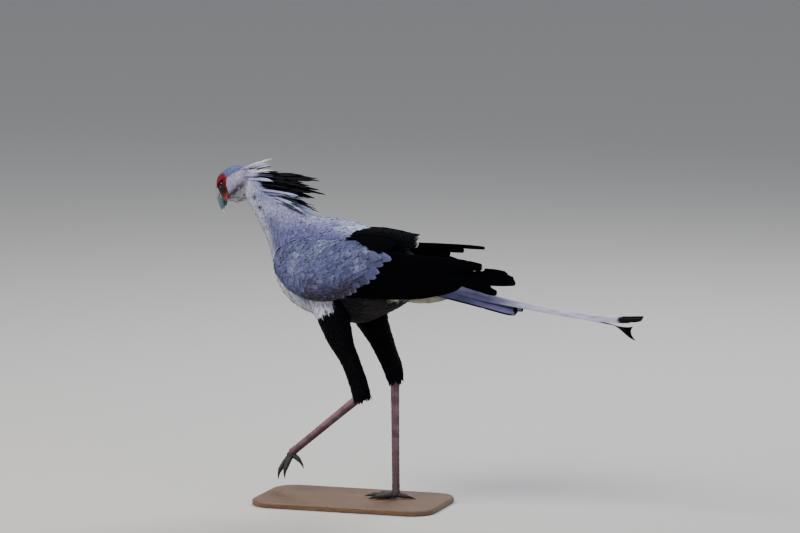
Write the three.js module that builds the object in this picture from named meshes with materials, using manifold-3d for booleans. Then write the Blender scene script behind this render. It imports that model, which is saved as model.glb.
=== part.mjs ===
// Secretary bird, life size, walking with its near foot lifted, on a flat display base.
// Millimetres, +Z up. The bird faces -X, so its left side is towards -Y.
// Modelled with the base's top at z = 0, and set down at the end on the base's underside centre.
import * as THREE from 'three';
import { mergeVertices } from 'three/addons/utils/BufferGeometryUtils.js';
import Module from 'manifold-3d';

const wasm = await Module();
wasm.setup();

// Driving dimensions
const GAP = 0.3; // clearance that touching nodes keep
const VANE = 0.8; // thickness of a feather vane
const SHAFT_SHARE = 0.55; // half height of a vane along its shaft and at its edges, as shares of VANE
const EDGE_SHARE = 0.38;
const LAYER = 1.3; // step between the layers of a folded wing
const TARSUS = 308; // length of the bare shank
const BASE = { length: 500, width: 280, thick: 15, centreX: -20, corner: 60, rim: 3 };
const HEAD = { x: -349, z: 818, pitch: 45, turn: -4 }; // middle of the skull and the way it points
const EYE = { forward: 18, out: 19.5, up: 15, radius: 10 };
const REMIGES = 9;
const SCUTES = 11;

const V = (x, y, z) => new THREE.Vector3(x, y, z);
const { lerp, clamp, degToRad } = THREE.MathUtils;

// Rows of numbers blended smoothly: t runs from 0 to the last row.
function blend(rows, t) {
  const last = rows.length - 1;
  const i = clamp(Math.floor(t), 0, last - 1);
  const f = t - i;
  const row = (k) => rows[clamp(k, 0, last)];
  return rows[0].map((_, c) => {
    const [p, q, r, s] = [row(i - 1)[c], row(i)[c], row(i + 1)[c], row(i + 2)[c]];
    return q + 0.5 * f * (r - p + f * (2 * p - 5 * q + 4 * r - s + f * (3 * (q - r) + s - p)));
  });
}

// A closed mesh of points and triangles as a solid that can be joined and cut.
function toSolid(geometry) {
  const bare = geometry.index ? geometry.toNonIndexed() : geometry.clone();
  bare.deleteAttribute('normal');
  bare.deleteAttribute('uv');
  const merged = mergeVertices(bare, 1e-4);
  return new wasm.Manifold(new wasm.Mesh({
    numProp: 3,
    vertProperties: new Float32Array(merged.attributes.position.array),
    triVerts: new Uint32Array(merged.index.array),
  }));
}

// Points and triangles as a solid, turned round where its faces point inwards.
function fromPoints(points, triangles) {
  let volume = 0;
  for (let i = 0; i < triangles.length; i += 3) {
    const [a, b, c] = [points[triangles[i]], points[triangles[i + 1]], points[triangles[i + 2]]];
    volume += a.dot(b.clone().cross(c));
  }
  const xyz = points.flatMap((p) => [p.x, p.y, p.z]);
  const geometry = new THREE.BufferGeometry();
  geometry.setAttribute('position', new THREE.Float32BufferAttribute(xyz, 3));
  geometry.setIndex(volume > 0 ? triangles : triangles.toReversed());
  return toSolid(geometry);
}

const largest = (solid) => solid.decompose().reduce((a, b) => (b.volume() > a.volume() ? b : a));
const joined = (pieces) => pieces.reduce((a, b) => a.add(b));

function toMesh(name, solid, material) {
  const { numProp, vertProperties, triVerts } = largest(solid).simplify(0.03).getMesh();
  const xyz = [];
  for (let i = 0; i < vertProperties.length; i += numProp) xyz.push(...vertProperties.slice(i, i + 3));
  const geometry = new THREE.BufferGeometry();
  geometry.setAttribute('position', new THREE.Float32BufferAttribute(xyz, 3));
  geometry.setIndex([...triVerts]);
  const flat = geometry.toNonIndexed();
  flat.computeVertexNormals();
  const mesh = new THREE.Mesh(flat, material);
  mesh.name = name;
  return mesh;
}

// A skin over rings of points, closed at both ends by a point.
function loft(rings, ends, warp) {
  const sides = rings[0].length;
  const points = [...rings.flat(), ...ends].map(warp);
  const id = (i, j) => i * sides + (j % sides);
  const triangles = [];
  for (let i = 0; i < rings.length - 1; i++) {
    for (let j = 0; j < sides; j++) {
      triangles.push(id(i, j), id(i, j + 1), id(i + 1, j));
      triangles.push(id(i, j + 1), id(i + 1, j + 1), id(i + 1, j));
    }
  }
  const last = rings.length - 1;
  const pole = rings.length * sides;
  for (let j = 0; j < sides; j++) {
    triangles.push(pole, id(0, j + 1), id(0, j));
    triangles.push(pole + 1, id(last, j), id(last, j + 1));
  }
  return fromPoints(points, triangles);
}

// A rounded form along rows of [x, y, z, tall, wide]; `side` is the direction that `wide` is measured in,
// `grow` swells it all round and `domes` are how far its two ends bulge.
function tube(rows, {
  side = V(0, 1, 0), sides = 12, steps = 8, grow = 0, domes = [0, 0], warp = (p) => p,
} = {}) {
  const last = rows.length - 1;
  const at = (t) => V(...blend(rows, clamp(t, 0, last)).slice(0, 3));
  const ends = [];
  const rings = Array.from({ length: steps + 1 }, (_, i) => {
    const t = (last * i) / steps;
    const [x, y, z, tall, wide] = blend(rows, t);
    const along = at(t + 0.02).sub(at(t - 0.02)).normalize();
    const across = side.clone().addScaledVector(along, -side.dot(along)).normalize();
    const up = across.clone().cross(along);
    const centre = V(x, y, z);
    if (i === 0) ends[0] = centre.clone().addScaledVector(along, -domes[0] - grow);
    if (i === steps) ends[1] = centre.clone().addScaledVector(along, domes[1] + grow);
    return Array.from({ length: sides }, (__, j) => {
      const a = (j / sides) * 2 * Math.PI;
      return centre.clone().addScaledVector(across, Math.cos(a) * (wide + grow))
        .addScaledVector(up, Math.sin(a) * (tall + grow));
    });
  });
  return loft(rings, ends, warp);
}

// A rounded form whose outline in side view is given: rows of [x and z of one edge, x and z of the other,
// y of the middle, half width]. `from` and `to` are the rows between which it is built.
function profile(rows, {
  sides = 16, steps = 8, grow = 0, from = 0, to = rows.length - 1, domes = [0, 0], warp = (p) => p,
} = {}) {
  const middle = (t) => {
    const [ax, az, bx, bz, y] = blend(rows, t);
    return V((ax + bx) / 2, y, (az + bz) / 2);
  };
  const ends = [];
  const rings = Array.from({ length: steps + 1 }, (_, i) => {
    const t = lerp(from, to, i / steps);
    const [ax, az, bx, bz, , wide] = blend(rows, t);
    const centre = middle(t);
    const half = V((bx - ax) / 2, 0, (bz - az) / 2);
    half.setLength(half.length() + grow);
    const along = middle(Math.min(t + 0.05, to)).sub(middle(Math.max(t - 0.05, from))).normalize();
    if (i === 0) ends[0] = centre.clone().addScaledVector(along, -domes[0] - grow * (domes[0] > 0));
    if (i === steps) ends[1] = centre.clone().addScaledVector(along, domes[1] + grow * (domes[1] > 0));
    return Array.from({ length: sides }, (__, j) => {
      const a = (j / sides) * 2 * Math.PI;
      return centre.clone().addScaledVector(V(0, 1, 0), Math.cos(a) * (wide + grow))
        .addScaledVector(half, Math.sin(a));
    });
  });
  return loft(rings, ends, warp);
}

// A feather vane. `spine(s)` gives { at, across, face, half } with s from root to tip, and both faces are
// split alike. `put` lays a point and its height off the vane's middle on a surface.
function vane(spine, { steps = 4, thick = VANE, put = null } = {}) {
  const points = [];
  for (const layer of [1, -1]) {
    for (let i = 0; i <= steps; i++) {
      const { at, across, face, half } = spine(i / steps);
      for (const k of [-1, 0, 1]) {
        const flat = at.clone().addScaledVector(across, k * half);
        const lift = layer * (k === 0 ? SHAFT_SHARE : EDGE_SHARE) * thick;
        points.push(put ? put(flat, lift) : flat.addScaledVector(face, lift));
      }
    }
  }
  const offset = (steps + 1) * 3;
  const id = (layer, i, k) => layer * offset + i * 3 + k;
  const triangles = [];
  const quad = (a, b, c, d) => triangles.push(a, b, c, a, c, d);
  for (let i = 0; i < steps; i++) {
    for (const k of [0, 1]) {
      const upper = [id(0, i, k), id(0, i + 1, k), id(0, i + 1, k + 1), id(0, i, k + 1)];
      const [a, b, c, d] = upper.map((corner) => corner + offset);
      quad(...upper);
      triangles.push(a, c, b, a, d, c);
    }
    quad(id(0, i, 0), id(1, i, 0), id(1, i + 1, 0), id(0, i + 1, 0));
    quad(id(0, i, 2), id(0, i + 1, 2), id(1, i + 1, 2), id(1, i, 2));
  }
  for (const k of [0, 1]) {
    quad(id(0, 0, k), id(0, 0, k + 1), id(1, 0, k + 1), id(1, 0, k));
    quad(id(0, steps, k), id(1, steps, k), id(1, steps, k + 1), id(0, steps, k + 1));
  }
  return fromPoints(points, triangles);
}

// Half width along a feather of that greatest width: narrow quill, broad middle and a rounded tip.
const FEATHER = { quill: 0.45, full: 0.3, tapers: 0.72, round: 1.6 };
const featherHalf = (s, width, tip = 0.3) => 0.5 * width * Math.min(
  lerp(FEATHER.quill, 1, Math.min(1, s / FEATHER.full)),
  lerp(1, tip, Math.max(0, (s - FEATHER.tapers) / (1 - FEATHER.tapers)) ** FEATHER.round),
);

// Materials
const paint = (color, roughness) => new THREE.MeshStandardMaterial({ color, roughness, metalness: 0 });
const COLORS = {
  grey: paint('#9298ad', 0.85),
  pale: paint('#b4b8c8', 0.85),
  wing: paint('#2b2c37', 0.7),
  black: paint('#131319', 0.7),
  shank: paint('#8d7480', 0.6),
  toe: paint('#4d4046', 0.6),
  claw: paint('#1b1a1c', 0.35),
  bill: paint('#8fa3ad', 0.35),
  eye: paint('#2a1a12', 0.1),
  board: paint('#5b4636', 0.5),
};

// Body from the tail's root to the head: underside or front edge, upper or back edge, middle y, half width
const BODY = [
  [205, 558, 186, 612, 0, 22],
  [150, 537, 142, 652, 0, 47],
  [92, 502, 94, 680, 0, 66],
  [10, 466, 30, 715, 0, 80],
  [-56, 471, -40, 734, 0, 88],
  [-124, 483, -90, 739, 0, 87],
  [-178, 508, -122, 741, 0, 80],
  [-215, 549, -142, 750, 0, 71],
  [-233, 600, -160, 761, 0, 60],
  [-244, 650, -186, 775, 0, 49],
  [-266, 699, -214, 788, 0, 41],
  [-290, 744, -244, 806, 0, 36],
  [-309, 774, -276, 838, 0, 33],
  [-330, 797, -306, 852, 0, 29],
];
const NECK = { root: 8.4, middle: 10.7 }; // rows at which the neck leaves the chest and is halved
const body = (from, to, options = {}) => profile(BODY, { from, to, sides: 18, ...options });
const torsoPlain = (grow = 0) => body(0, NECK.root, { steps: 10, domes: [10, 0], grow });

// Long black feathers of the back, lying side by side from the ridge down to the wings.
// The back's line falls from `high` to `low` and rounds off sideways by `fall` within `span`.
const BACK = { start: -60, run: 220, high: 733, low: 704, ease: 0.8, fall: 112, span: 90, steepest: 0.97 };
const MANTLE = {
  count: 6, front: -26, spread: 34, reach: 163, shorter: 30, inner: 7, outer: 54, width: 32,
  sink: 9, slope: 0.13, layer: 1.5, uneven: 0.7,
};
function mantleLine(x, y) {
  const { start, run, high, low, fall, span, steepest } = BACK;
  const t = clamp((x - start) / run, 0, 1) ** BACK.ease;
  return lerp(high, low, t) - fall * (1 - Math.sqrt(1 - Math.min(steepest, y / span) ** 2));
}
function mantle(grow = 0) {
  const { count, front, spread, reach, shorter, inner, outer, width, sink, slope, layer, uneven } = MANTLE;
  const list = [];
  for (const hand of [-1, 1]) {
    for (let i = 0; i < count; i++) {
      const f = i / (count - 1);
      const y = hand * lerp(inner, outer, f);
      const root = V(front - spread * f, y, 0);
      const tip = V(reach - shorter * f, y, 0);
      const rise = layer * (count - i) + (hand > 0 ? uneven : 0);
      const height = (p) => mantleLine(p.x, Math.abs(p.y)) + Math.min(rise, (p.x - root.x) * slope - sink);
      list.push(vane((s) => ({
        at: root.clone().lerp(tip, s), across: V(0, 1, 0), half: featherHalf(s, width, 0.7) + grow,
      }), { steps: 3, thick: VANE + 3 * grow, put: (p, lift) => V(p.x, p.y, height(p) + lift) }));
    }
  }
  return list;
}

// How far out the side surface that a folded wing lies on is, at a point of the side view
const FLANK = [
  [-260, 52], [-200, 74], [-140, 91], [-60, 97], [20, 91],
  [90, 81], [160, 73], [250, 65], [350, 56], [450, 45],
];
const FLANK_ROUND = { middle: 606, half: 152, least: 0.08 };
function flank(x, z) {
  const i = clamp(FLANK.findIndex((row) => row[0] > x) - 1, 0, FLANK.length - 2);
  const f = clamp((x - FLANK[i][0]) / (FLANK[i + 1][0] - FLANK[i][0]), 0, 1);
  const { middle, half, least } = FLANK_ROUND;
  return blend(FLANK, i + f)[1] * Math.sqrt(Math.max(least, 1 - ((z - middle) / half) ** 2));
}

// Wings: the far one is held a little higher and tighter than the near one
const SHOULDER = { x: -150, z: 640 };
const WINGS = {
  left: {
    hand: -1, lift: 0, slide: 0,
    tertials: [[-10, 640, 318, 634, 34, 0.7], [0, 648, 342, 634, 33, 0.75], [10, 656, 361, 633, 26, 0.8]],
  },
  right: {
    hand: 1, lift: -1.2, slide: -34,
    tertials: [[-10, 658, 250, 654, 32, 0.7], [0, 656, 292, 664, 18, 0.3], [10, 662, 352, 675, 12, 0.8]],
  },
};
// Fleshy front of the wing: lower and upper edge, height off the flank, half thickness
const WING_CORE = [
  [-213, 620, -212, 638, 2, 6],
  [-204, 596, -198, 660, 4, 12],
  [-166, 556, -158, 684, 6, 17],
  [-100, 532, -94, 690, 7, 19],
  [-30, 538, -22, 693, 7, 18],
  [34, 574, 44, 690, 6, 14],
  [84, 620, 92, 682, 4, 8],
  [118, 650, 124, 668, 2, 4],
];
const curve = (...ends) => new THREE.QuadraticBezierCurve3(...ends.map(([x, z]) => V(x, 0, z)));
// Secondaries: where their roots and tips lie in side view, and their form
const SECONDARY_ROOTS = curve([-110, 568], [-70, 607], [-30, 646]);
const SECONDARY_TIPS = curve([240, 562], [330, 574], [300, 628]);
const REMEX = { width: 40, bow: -9, end: 0.4 };
// Heights off the flank: the inmost primary, the roots of tertials, of draping feathers and of coverts
const FOLD = { inside: -7, root: 13, drape: 5, covert: 9, tertialBow: 4 };
// Flight feathers beyond the secondaries: root and tip in side view, width, tip's share of the width
const PRIMARIES = [
  [90, 650, 386, 564, 24, 0.3],
  [80, 648, 372, 574, 26, 0.4],
  [70, 646, 356, 586, 26, 0.4],
  [-20, 600, 434, 596, 22, 0.3],
  [-20, 604, 428, 607, 24, 0.35],
  [-20, 608, 410, 616, 24, 0.4],
];
// Black feathers that drape from the back over the wing's upper edge: root, tip, width, height at the tip
const SCAPULARS = [
  [-46, 684, 84, 672, 30, 19],
  [-34, 694, 112, 681, 30, 17],
  [-26, 703, 136, 690, 28, 13],
];
// Coverts: the edge that the outmost tier ends along, how steeply they lie, then each tier
const COVERT_EDGE = curve([-88, 538], [30, 536], [114, 650]);
const COVERT_SLOPES = [-40, -6];
const COVERTS = [
  { count: 9, back: 0, length: 118, width: 40, layer: 20 },
  { count: 8, back: 46, length: 88, width: 41, layer: 22.6 },
  { count: 7, back: 86, length: 74, width: 42, layer: 25.2 },
];

function wing({ hand, lift, slide, tertials }) {
  const turn = degToRad(lift);
  // Lays a point of the wing's flat plan, y being its height off the flank, on the body's side.
  const lay = (p, off = 0) => {
    const dx = p.x + slide * clamp((p.x + 60) / 380, 0, 1) - SHOULDER.x;
    const dz = p.z - SHOULDER.z;
    const x = SHOULDER.x + dx * Math.cos(turn) - dz * Math.sin(turn);
    const z = SHOULDER.z + dx * Math.sin(turn) + dz * Math.cos(turn);
    return V(x, hand * (flank(x, z) + p.y + off), z);
  };
  const pieces = [profile(WING_CORE, { sides: 12, steps: 9, domes: [5, 10], warp: (p) => lay(p) })];
  const feather = ({ root, tip, width, outs, bow = 0, end = 0.3, steps = 3 }) => {
    const chord = tip.clone().sub(root);
    const across = V(-chord.z, 0, chord.x).normalize();
    pieces.push(vane((s) => {
      const at = root.clone().addScaledVector(chord, s).addScaledVector(across, bow * 4 * s * (1 - s));
      at.y = lerp(...outs, s);
      return { at, across, half: featherHalf(s, width, end) };
    }, { steps, put: lay }));
  };
  let out = FOLD.inside;
  for (const [x, z, tipX, tipZ, width, end] of PRIMARIES) {
    feather({ root: V(x, 0, z), tip: V(tipX, 0, tipZ), width, outs: [out, out], end });
    out += LAYER;
  }
  for (let i = 0; i < REMIGES; i++) {
    const f = i / (REMIGES - 1);
    const [root, tip] = [SECONDARY_ROOTS.getPoint(f), SECONDARY_TIPS.getPoint(f)];
    feather({ ...REMEX, root, tip, outs: [out, out], bow: lerp(REMEX.bow, 0, f) });
    out += LAYER;
  }
  for (const [x, z, tipX, tipZ, width, end] of tertials) {
    const outs = [Math.min(out, FOLD.root), out];
    feather({ root: V(x, 0, z), tip: V(tipX, 0, tipZ), width, outs, bow: FOLD.tertialBow, end });
    out += LAYER;
  }
  for (const [x, z, tipX, tipZ, width, off] of SCAPULARS) {
    feather({ root: V(x, 0, z), tip: V(tipX, 0, tipZ), width, outs: [FOLD.drape, off], end: 0.7 });
  }
  COVERTS.forEach(({ count, back, length, width, layer }, tier) => {
    for (let i = 0; i < count; i++) {
      const f = Math.min(1, (i + (tier % 2) * 0.5) / (count - 1));
      const slope = degToRad(lerp(...COVERT_SLOPES, f));
      const along = V(Math.cos(slope), 0, Math.sin(slope));
      const tip = COVERT_EDGE.getPoint(f).addScaledVector(along, -back);
      const root = tip.clone().addScaledVector(along, -length * lerp(0.8, 1, f));
      feather({ root, tip, width, outs: [FOLD.covert, layer + (i % 2) * LAYER], end: 0.55 });
    }
  });
  return joined(pieces);
}

// Tail: a folded roof of feathers whose middle pair runs far past the others
const TAIL_CORE = [
  [128, 522, 122, 622, 0, 33],
  [165, 522, 160, 618, 0, 32],
  [208, 528, 204, 598, 0, 24],
  [250, 541, 250, 582, 0, 12],
];
// Ridge of the folded tail in side view
const RIDGE = [
  [130, 602], [195, 594], [260, 581], [330, 567], [395, 552], [460, 539],
  [525, 529], [590, 522], [655, 518], [722, 518], [792, 525],
];
const SAG = { start: 0.45, power: 1.3 }; // where a streamer begins to hang below the ridge's line
const FAR_ROLLS = [44, 42, 40, 37, 33, 28, 22, 16, 12, 9, 8, 14, 62]; // flat until its flared end
const STREAMERS = [
  { hand: -1, length: 655, width: 37, drop: 0, apart: 1, rolls: [44, 38, 14, 12], sag: 0, end: 0.4 },
  { hand: 1, length: 600, width: 38, drop: 3, apart: 2, rolls: FAR_ROLLS, sag: 33, end: 1 },
];
const SHORT_PAIRS = {
  count: 4, length: 300, shorter: 7, width: 37, rolls: [48, 50], end: 0.75,
  drop: 5, lower: 4.4, apart: 3, wider: 2.6,
};
function tailFeather({ hand, length, width, drop, apart, rolls, sag, end, steps = 4 }) {
  const [start, stop] = [RIDGE[0][0], RIDGE.at(-1)[0]];
  return vane((s) => {
    const x = start + length * s;
    const [, ridge] = blend(RIDGE, ((x - start) / (stop - start)) * (RIDGE.length - 1));
    const [roll] = blend(rolls.map((r) => [degToRad(r)]), s * (rolls.length - 1));
    const across = V(0, hand * Math.cos(roll), -Math.sin(roll));
    const face = V(0, hand * Math.sin(roll), Math.cos(roll));
    const hang = sag * clamp((s - SAG.start) / (1 - SAG.start), 0, 1) ** SAG.power;
    const edge = V(x, hand * apart, ridge - drop - hang);
    return { at: edge.addScaledVector(across, width / 2), across, face, half: featherHalf(s, width, end) };
  }, { steps });
}
const tailCore = (grow = 0) => profile(TAIL_CORE, { sides: 12, steps: 5, domes: [4, 8], grow });
function tail() {
  const pieces = [tailCore()];
  for (const streamer of STREAMERS) pieces.push(tailFeather({ ...streamer, steps: 10 }));
  for (const hand of [-1, 1]) {
    for (let i = 0; i < SHORT_PAIRS.count; i++) {
      const { length, shorter, drop, lower, apart, wider } = SHORT_PAIRS;
      pieces.push(tailFeather({
        ...SHORT_PAIRS, hand, sag: 0,
        length: length - i * shorter, drop: drop + i * lower, apart: apart + i * wider,
      }));
    }
  }
  return joined(pieces);
}

// Legs: each feathered leg from inside the body to its hem, then the bare shank and the foot
const LEGS = {
  left: {
    hock: V(24, -52, 284),
    aim: V(-229.5, 98, -181.4),
    thigh: [
      [-132, 562, -20, 572, -46, 40],
      [-118, 512, -18, 532, -50, 40],
      [-90, 461, -12, 486, -55, 37],
      [-74, 428, -6, 450, -56, 33],
      [-54, 396, 0, 417, -55, 28],
      [-33, 363, 11, 386, -54, 25],
      [-19, 330, 23, 354, -53, 23],
      [-9, 299, 35, 322, -52, 21],
      [-4, 279, 44, 288, -51, 20],
    ],
    toes: {
      middle: [V(-19, -4, -24), V(-33, -3, -49), V(1, 0, -0.35)],
      inner: [V(-15, 9, -19), V(-25, 16, -40), V(1, 0, -0.35)],
      outer: [V(-6, -13, -22), V(-12, -19, -42), V(1, 0, -0.35)],
      hind: [V(11, -3, -10), V(21, -4, -19), V(-0.3, 0, -1)],
    },
  },
  right: {
    hock: V(83, 38, 325),
    aim: V(8.6, -18, -307.4),
    thigh: [
      [-58, 560, 56, 566, 44, 40],
      [-46, 506, 54, 522, 50, 40],
      [-30, 458, 56, 478, 54, 37],
      [-9, 431, 64, 447, 52, 33],
      [12, 404, 74, 419, 49, 29],
      [29, 376, 84, 391, 46, 26],
      [43, 352, 94, 369, 43, 24],
      [52, 334, 102, 349, 40, 22],
      [61, 314, 105, 329, 38, 20],
    ],
    toes: {
      middle: [V(-30, -1, -8.6), V(-62, -2, -9.8), V(0, 0, -1)],
      inner: [V(-24, -14, -8.8), V(-43, -28, -10), V(0, 0, -1)],
      outer: [V(-24, 14, -8.8), V(-45, 27, -10), V(0, 0, -1)],
      hind: [V(16, 2, -9), V(29, 3, -10.6), V(0, 0, -1)],
    },
  },
};
const SHANK_SIZES = [
  [0, 12, 10.5], [0.05, 12.5, 10.8], [0.14, 11, 9.2], [0.5, 10.2, 8.4], [0.9, 9.8, 8.6], [1, 11, 9.8],
];
const thigh = (leg, grow = 0) => profile(leg.thigh, { sides: 16, steps: 9, grow, domes: [14, 7] });
const ankleOf = ({ hock, aim }) => hock.clone().addScaledVector(aim.clone().normalize(), TARSUS);
function shankRows(leg) {
  return SHANK_SIZES.map(([s, tall, wide]) => {
    const p = leg.hock.clone().lerp(ankleOf(leg), s);
    return [p.x, p.y, p.z, tall, wide];
  });
}
// A raised scute: a low plate, wider at its foot than at its top.
function plate(at, along, across, out, tall, half, rise) {
  const points = [];
  for (const [c, inset] of [[-1.4, 0], [rise, 1.1]]) {
    for (const [a, b] of [[-1, -1], [1, -1], [1, 1], [-1, 1]]) {
      points.push(at.clone().addScaledVector(along, a * (tall / 2 - inset))
        .addScaledVector(across, b * (half - inset)).addScaledVector(out, c));
    }
  }
  const triangles = [0, 1, 2, 0, 2, 3, 4, 6, 5, 4, 7, 6];
  for (let i = 0; i < 4; i++) {
    const j = (i + 1) % 4;
    triangles.push(i, i + 4, j + 4, i, j + 4, j);
  }
  return fromPoints(points, triangles);
}
function shank(leg) {
  const pieces = [tube(shankRows(leg), { sides: 9, steps: 4, domes: [7, 4] })];
  const along = leg.aim.clone().normalize();
  const across = V(0, 1, 0).addScaledVector(along, -along.y).normalize();
  const front = along.clone().cross(across);
  if (front.x > 0) front.negate();
  for (let i = 0; i < SCUTES; i++) {
    const s = lerp(0.16, 0.92, i / (SCUTES - 1));
    const at = leg.hock.clone().addScaledVector(along, s * TARSUS).addScaledVector(front, 9.4);
    pieces.push(plate(at, along, across, front, 16.5, 5.2, 1.5));
  }
  return joined(pieces);
}

// Foot: a pad, three toes ahead and one behind, each toe with a claw of its own
const TOE_SIZES = [7.8, 7.6, 7.2, 6.9, 6.2];
const CLAW_SIZES = [[0, 4.7], [0.25, 4.4], [0.5, 3.5], [0.75, 2.2], [1, 0.8]];
const CLAW = { length: 23, hook: 0.34, thin: 0.85 };
function toePath(leg, name) {
  const ankle = ankleOf(leg);
  const [knuckle, end] = leg.toes[name];
  const start = V(knuckle.x * 0.1, knuckle.y * 0.1, -6);
  const bend = new THREE.QuadraticBezierCurve3(start, knuckle, end);
  return (s) => bend.getPoint(s).add(ankle);
}
function acrossToe(leg, name) {
  const path = toePath(leg, name);
  return path(1).sub(path(0.6)).normalize().cross(leg.toes[name][2]).normalize();
}
function toe(leg, name, grow = 0) {
  const path = toePath(leg, name);
  const rows = TOE_SIZES.map((r, i) => {
    const p = path(i / (TOE_SIZES.length - 1));
    return [p.x, p.y, p.z, r * 0.92, r];
  });
  return tube(rows, { side: acrossToe(leg, name), sides: 9, steps: 4, grow, domes: [5, 4] });
}
function claw(leg, name) {
  const path = toePath(leg, name);
  const along = path(1).sub(path(0.9)).normalize();
  const across = acrossToe(leg, name);
  const down = along.clone().cross(across).normalize();
  const sole = leg.toes[name][2];
  if (down.dot(sole) < 0) down.negate();
  const level = sole.x === 0;
  const rows = CLAW_SIZES.map(([s, r]) => {
    const hook = level ? 3.2 * s * s : CLAW.hook * CLAW.length * s * s;
    const p = path(0.95).addScaledVector(along, s * (CLAW.length + 3)).addScaledVector(down, hook);
    return [p.x, p.y, p.z, r, r * CLAW.thin];
  });
  return tube(rows, { side: across, sides: 7, steps: 4, domes: [2, 1.5] });
}
function foot(leg, grow = 0) {
  const ankle = ankleOf(leg);
  const pad = new THREE.SphereGeometry(1, 12, 8);
  pad.scale(12.5 + grow, 11.5 + grow, 9.6 + grow).translate(ankle.x - 2, ankle.y, ankle.z - 6.5);
  return joined([toSolid(pad), ...Object.keys(leg.toes).map((name) => toe(leg, name, grow))]);
}

// Head, in its own frame: x towards the bill, y to its left, z up, then turned into place
const headFrame = new THREE.Matrix4()
  .makeTranslation(HEAD.x, 0, HEAD.z)
  .multiply(new THREE.Matrix4().makeRotationZ(degToRad(HEAD.turn)))
  .multiply(new THREE.Matrix4().makeRotationY(degToRad(-HEAD.pitch)))
  .multiply(new THREE.Matrix4().makeRotationZ(Math.PI));
const inHead = (p) => p.applyMatrix4(headFrame);
// Forward, lower and upper edge, half width
const SKULL = [
  [-49, -17, 14, 14],
  [-41, -30, 27, 24],
  [-26, -40, 37, 31],
  [-6, -45, 42.5, 33],
  [12, -44, 44, 30.5],
  [26, -39, 40, 25],
  [37, -33, 30, 19],
  [44.5, -27, 17, 13],
];
const skull = (grow = 0) => profile(SKULL.map(([f, low, high, wide]) => [f, low, f, high, 0, wide]), {
  sides: 18, steps: 9, grow, domes: [4, 2], warp: inHead,
});
const eyeCentre = (hand) => inHead(V(EYE.forward, -hand * EYE.out, EYE.up));
function ball(centre, radius) {
  return toSolid(new THREE.SphereGeometry(radius, 12, 8).rotateX(Math.PI / 2).translate(...centre));
}
function lids(hand) {
  const ring = new THREE.TorusGeometry(EYE.radius * 0.93, 2.1, 5, 13).scale(1.12, 1, 1).rotateX(Math.PI / 2);
  ring.rotateZ(hand * 0.32).translate(EYE.forward, -hand * (EYE.out + 2.4), EYE.up);
  return toSolid(ring.applyMatrix4(headFrame));
}
const BROW = [[1, 23, 26, 2, 3.4], [11, 25.5, 26, 2.8, 5.2], [22, 23.5, 25.5, 2.8, 5], [33, 17, 21, 2, 3]];
function brow(hand) {
  const rows = BROW.map(([f, out, up, tall, wide]) => [f, -hand * out, up, tall, wide]);
  return tube(rows, { sides: 7, steps: 4, domes: [2, 2], warp: inHead });
}
// Bill: the upper half hooks over the lower one
const UPPER_BILL = [
  [33, 0, 12, 16, 14], [43, 0, 5.5, 14.5, 12], [53, 0, -3, 12, 9.6], [61.5, 0, -13, 9.2, 7],
  [68, 0, -22.5, 6.6, 4.6], [72, 0, -30.5, 3.8, 2.6], [73.5, 0, -38, 1, 0.9],
];
const LOWER_BILL = [
  [33, 0, -5, 6, 11], [43, 0, -12, 5, 8.2], [51.5, 0, -19.5, 3.8, 5.4], [58, 0, -26, 2, 2.6],
];
const upperBill = (grow = 0) => tube(UPPER_BILL, { sides: 11, steps: 8, grow, domes: [2, 1], warp: inHead });
const lowerBill = () => tube(LOWER_BILL, { sides: 10, steps: 5, domes: [2, 1], warp: inHead });
const NOSTRIL = [[43, 12.4, 8, 1.5, 2.6], [48, 11.2, 3, 2, 3], [52, 9.6, -1.5, 1.4, 2.6]];
const nostril = (hand) => tube(NOSTRIL.map(([f, out, ...rest]) => [f, -hand * out, ...rest]), {
  sides: 7, steps: 3, domes: [1, 1], warp: inHead,
});

// Crest and hackles, feather by feather: root, tip, width
const CROWN = [
  [-314, -3, 854, -237, -5, 889, 10],
  [-314, 8, 850, -244, 12, 866, 11],
  [-312, -13, 848, -226, -19, 847, 13],
  [-310, 15, 846, -222, 20, 853, 13],
];
const CREST = [
  [-290, -2, 842, -109, -6, 836, 16],
  [-288, 9, 838, -134, 15, 839, 17],
  [-286, -12, 834, -143, -24, 822, 18],
  [-282, 3, 828, -94, -3, 798, 19],
  [-280, 14, 826, -119, 20, 806, 19],
  [-278, -15, 822, -128, -21, 803, 20],
  [-270, -5, 815, -120, -8, 788, 18],
];
const HACKLES = [
  [-254, -18, 800, -152, -29, 788, 17],
  [-250, 16, 798, -150, 27, 786, 17],
  [-238, -6, 790, -113, -9, 754, 12],
  [-236, 10, 790, -128, 14, 758, 12],
  [-226, -24, 778, -138, -34, 752, 16],
  [-226, 24, 778, -138, 34, 752, 16],
];
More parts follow.
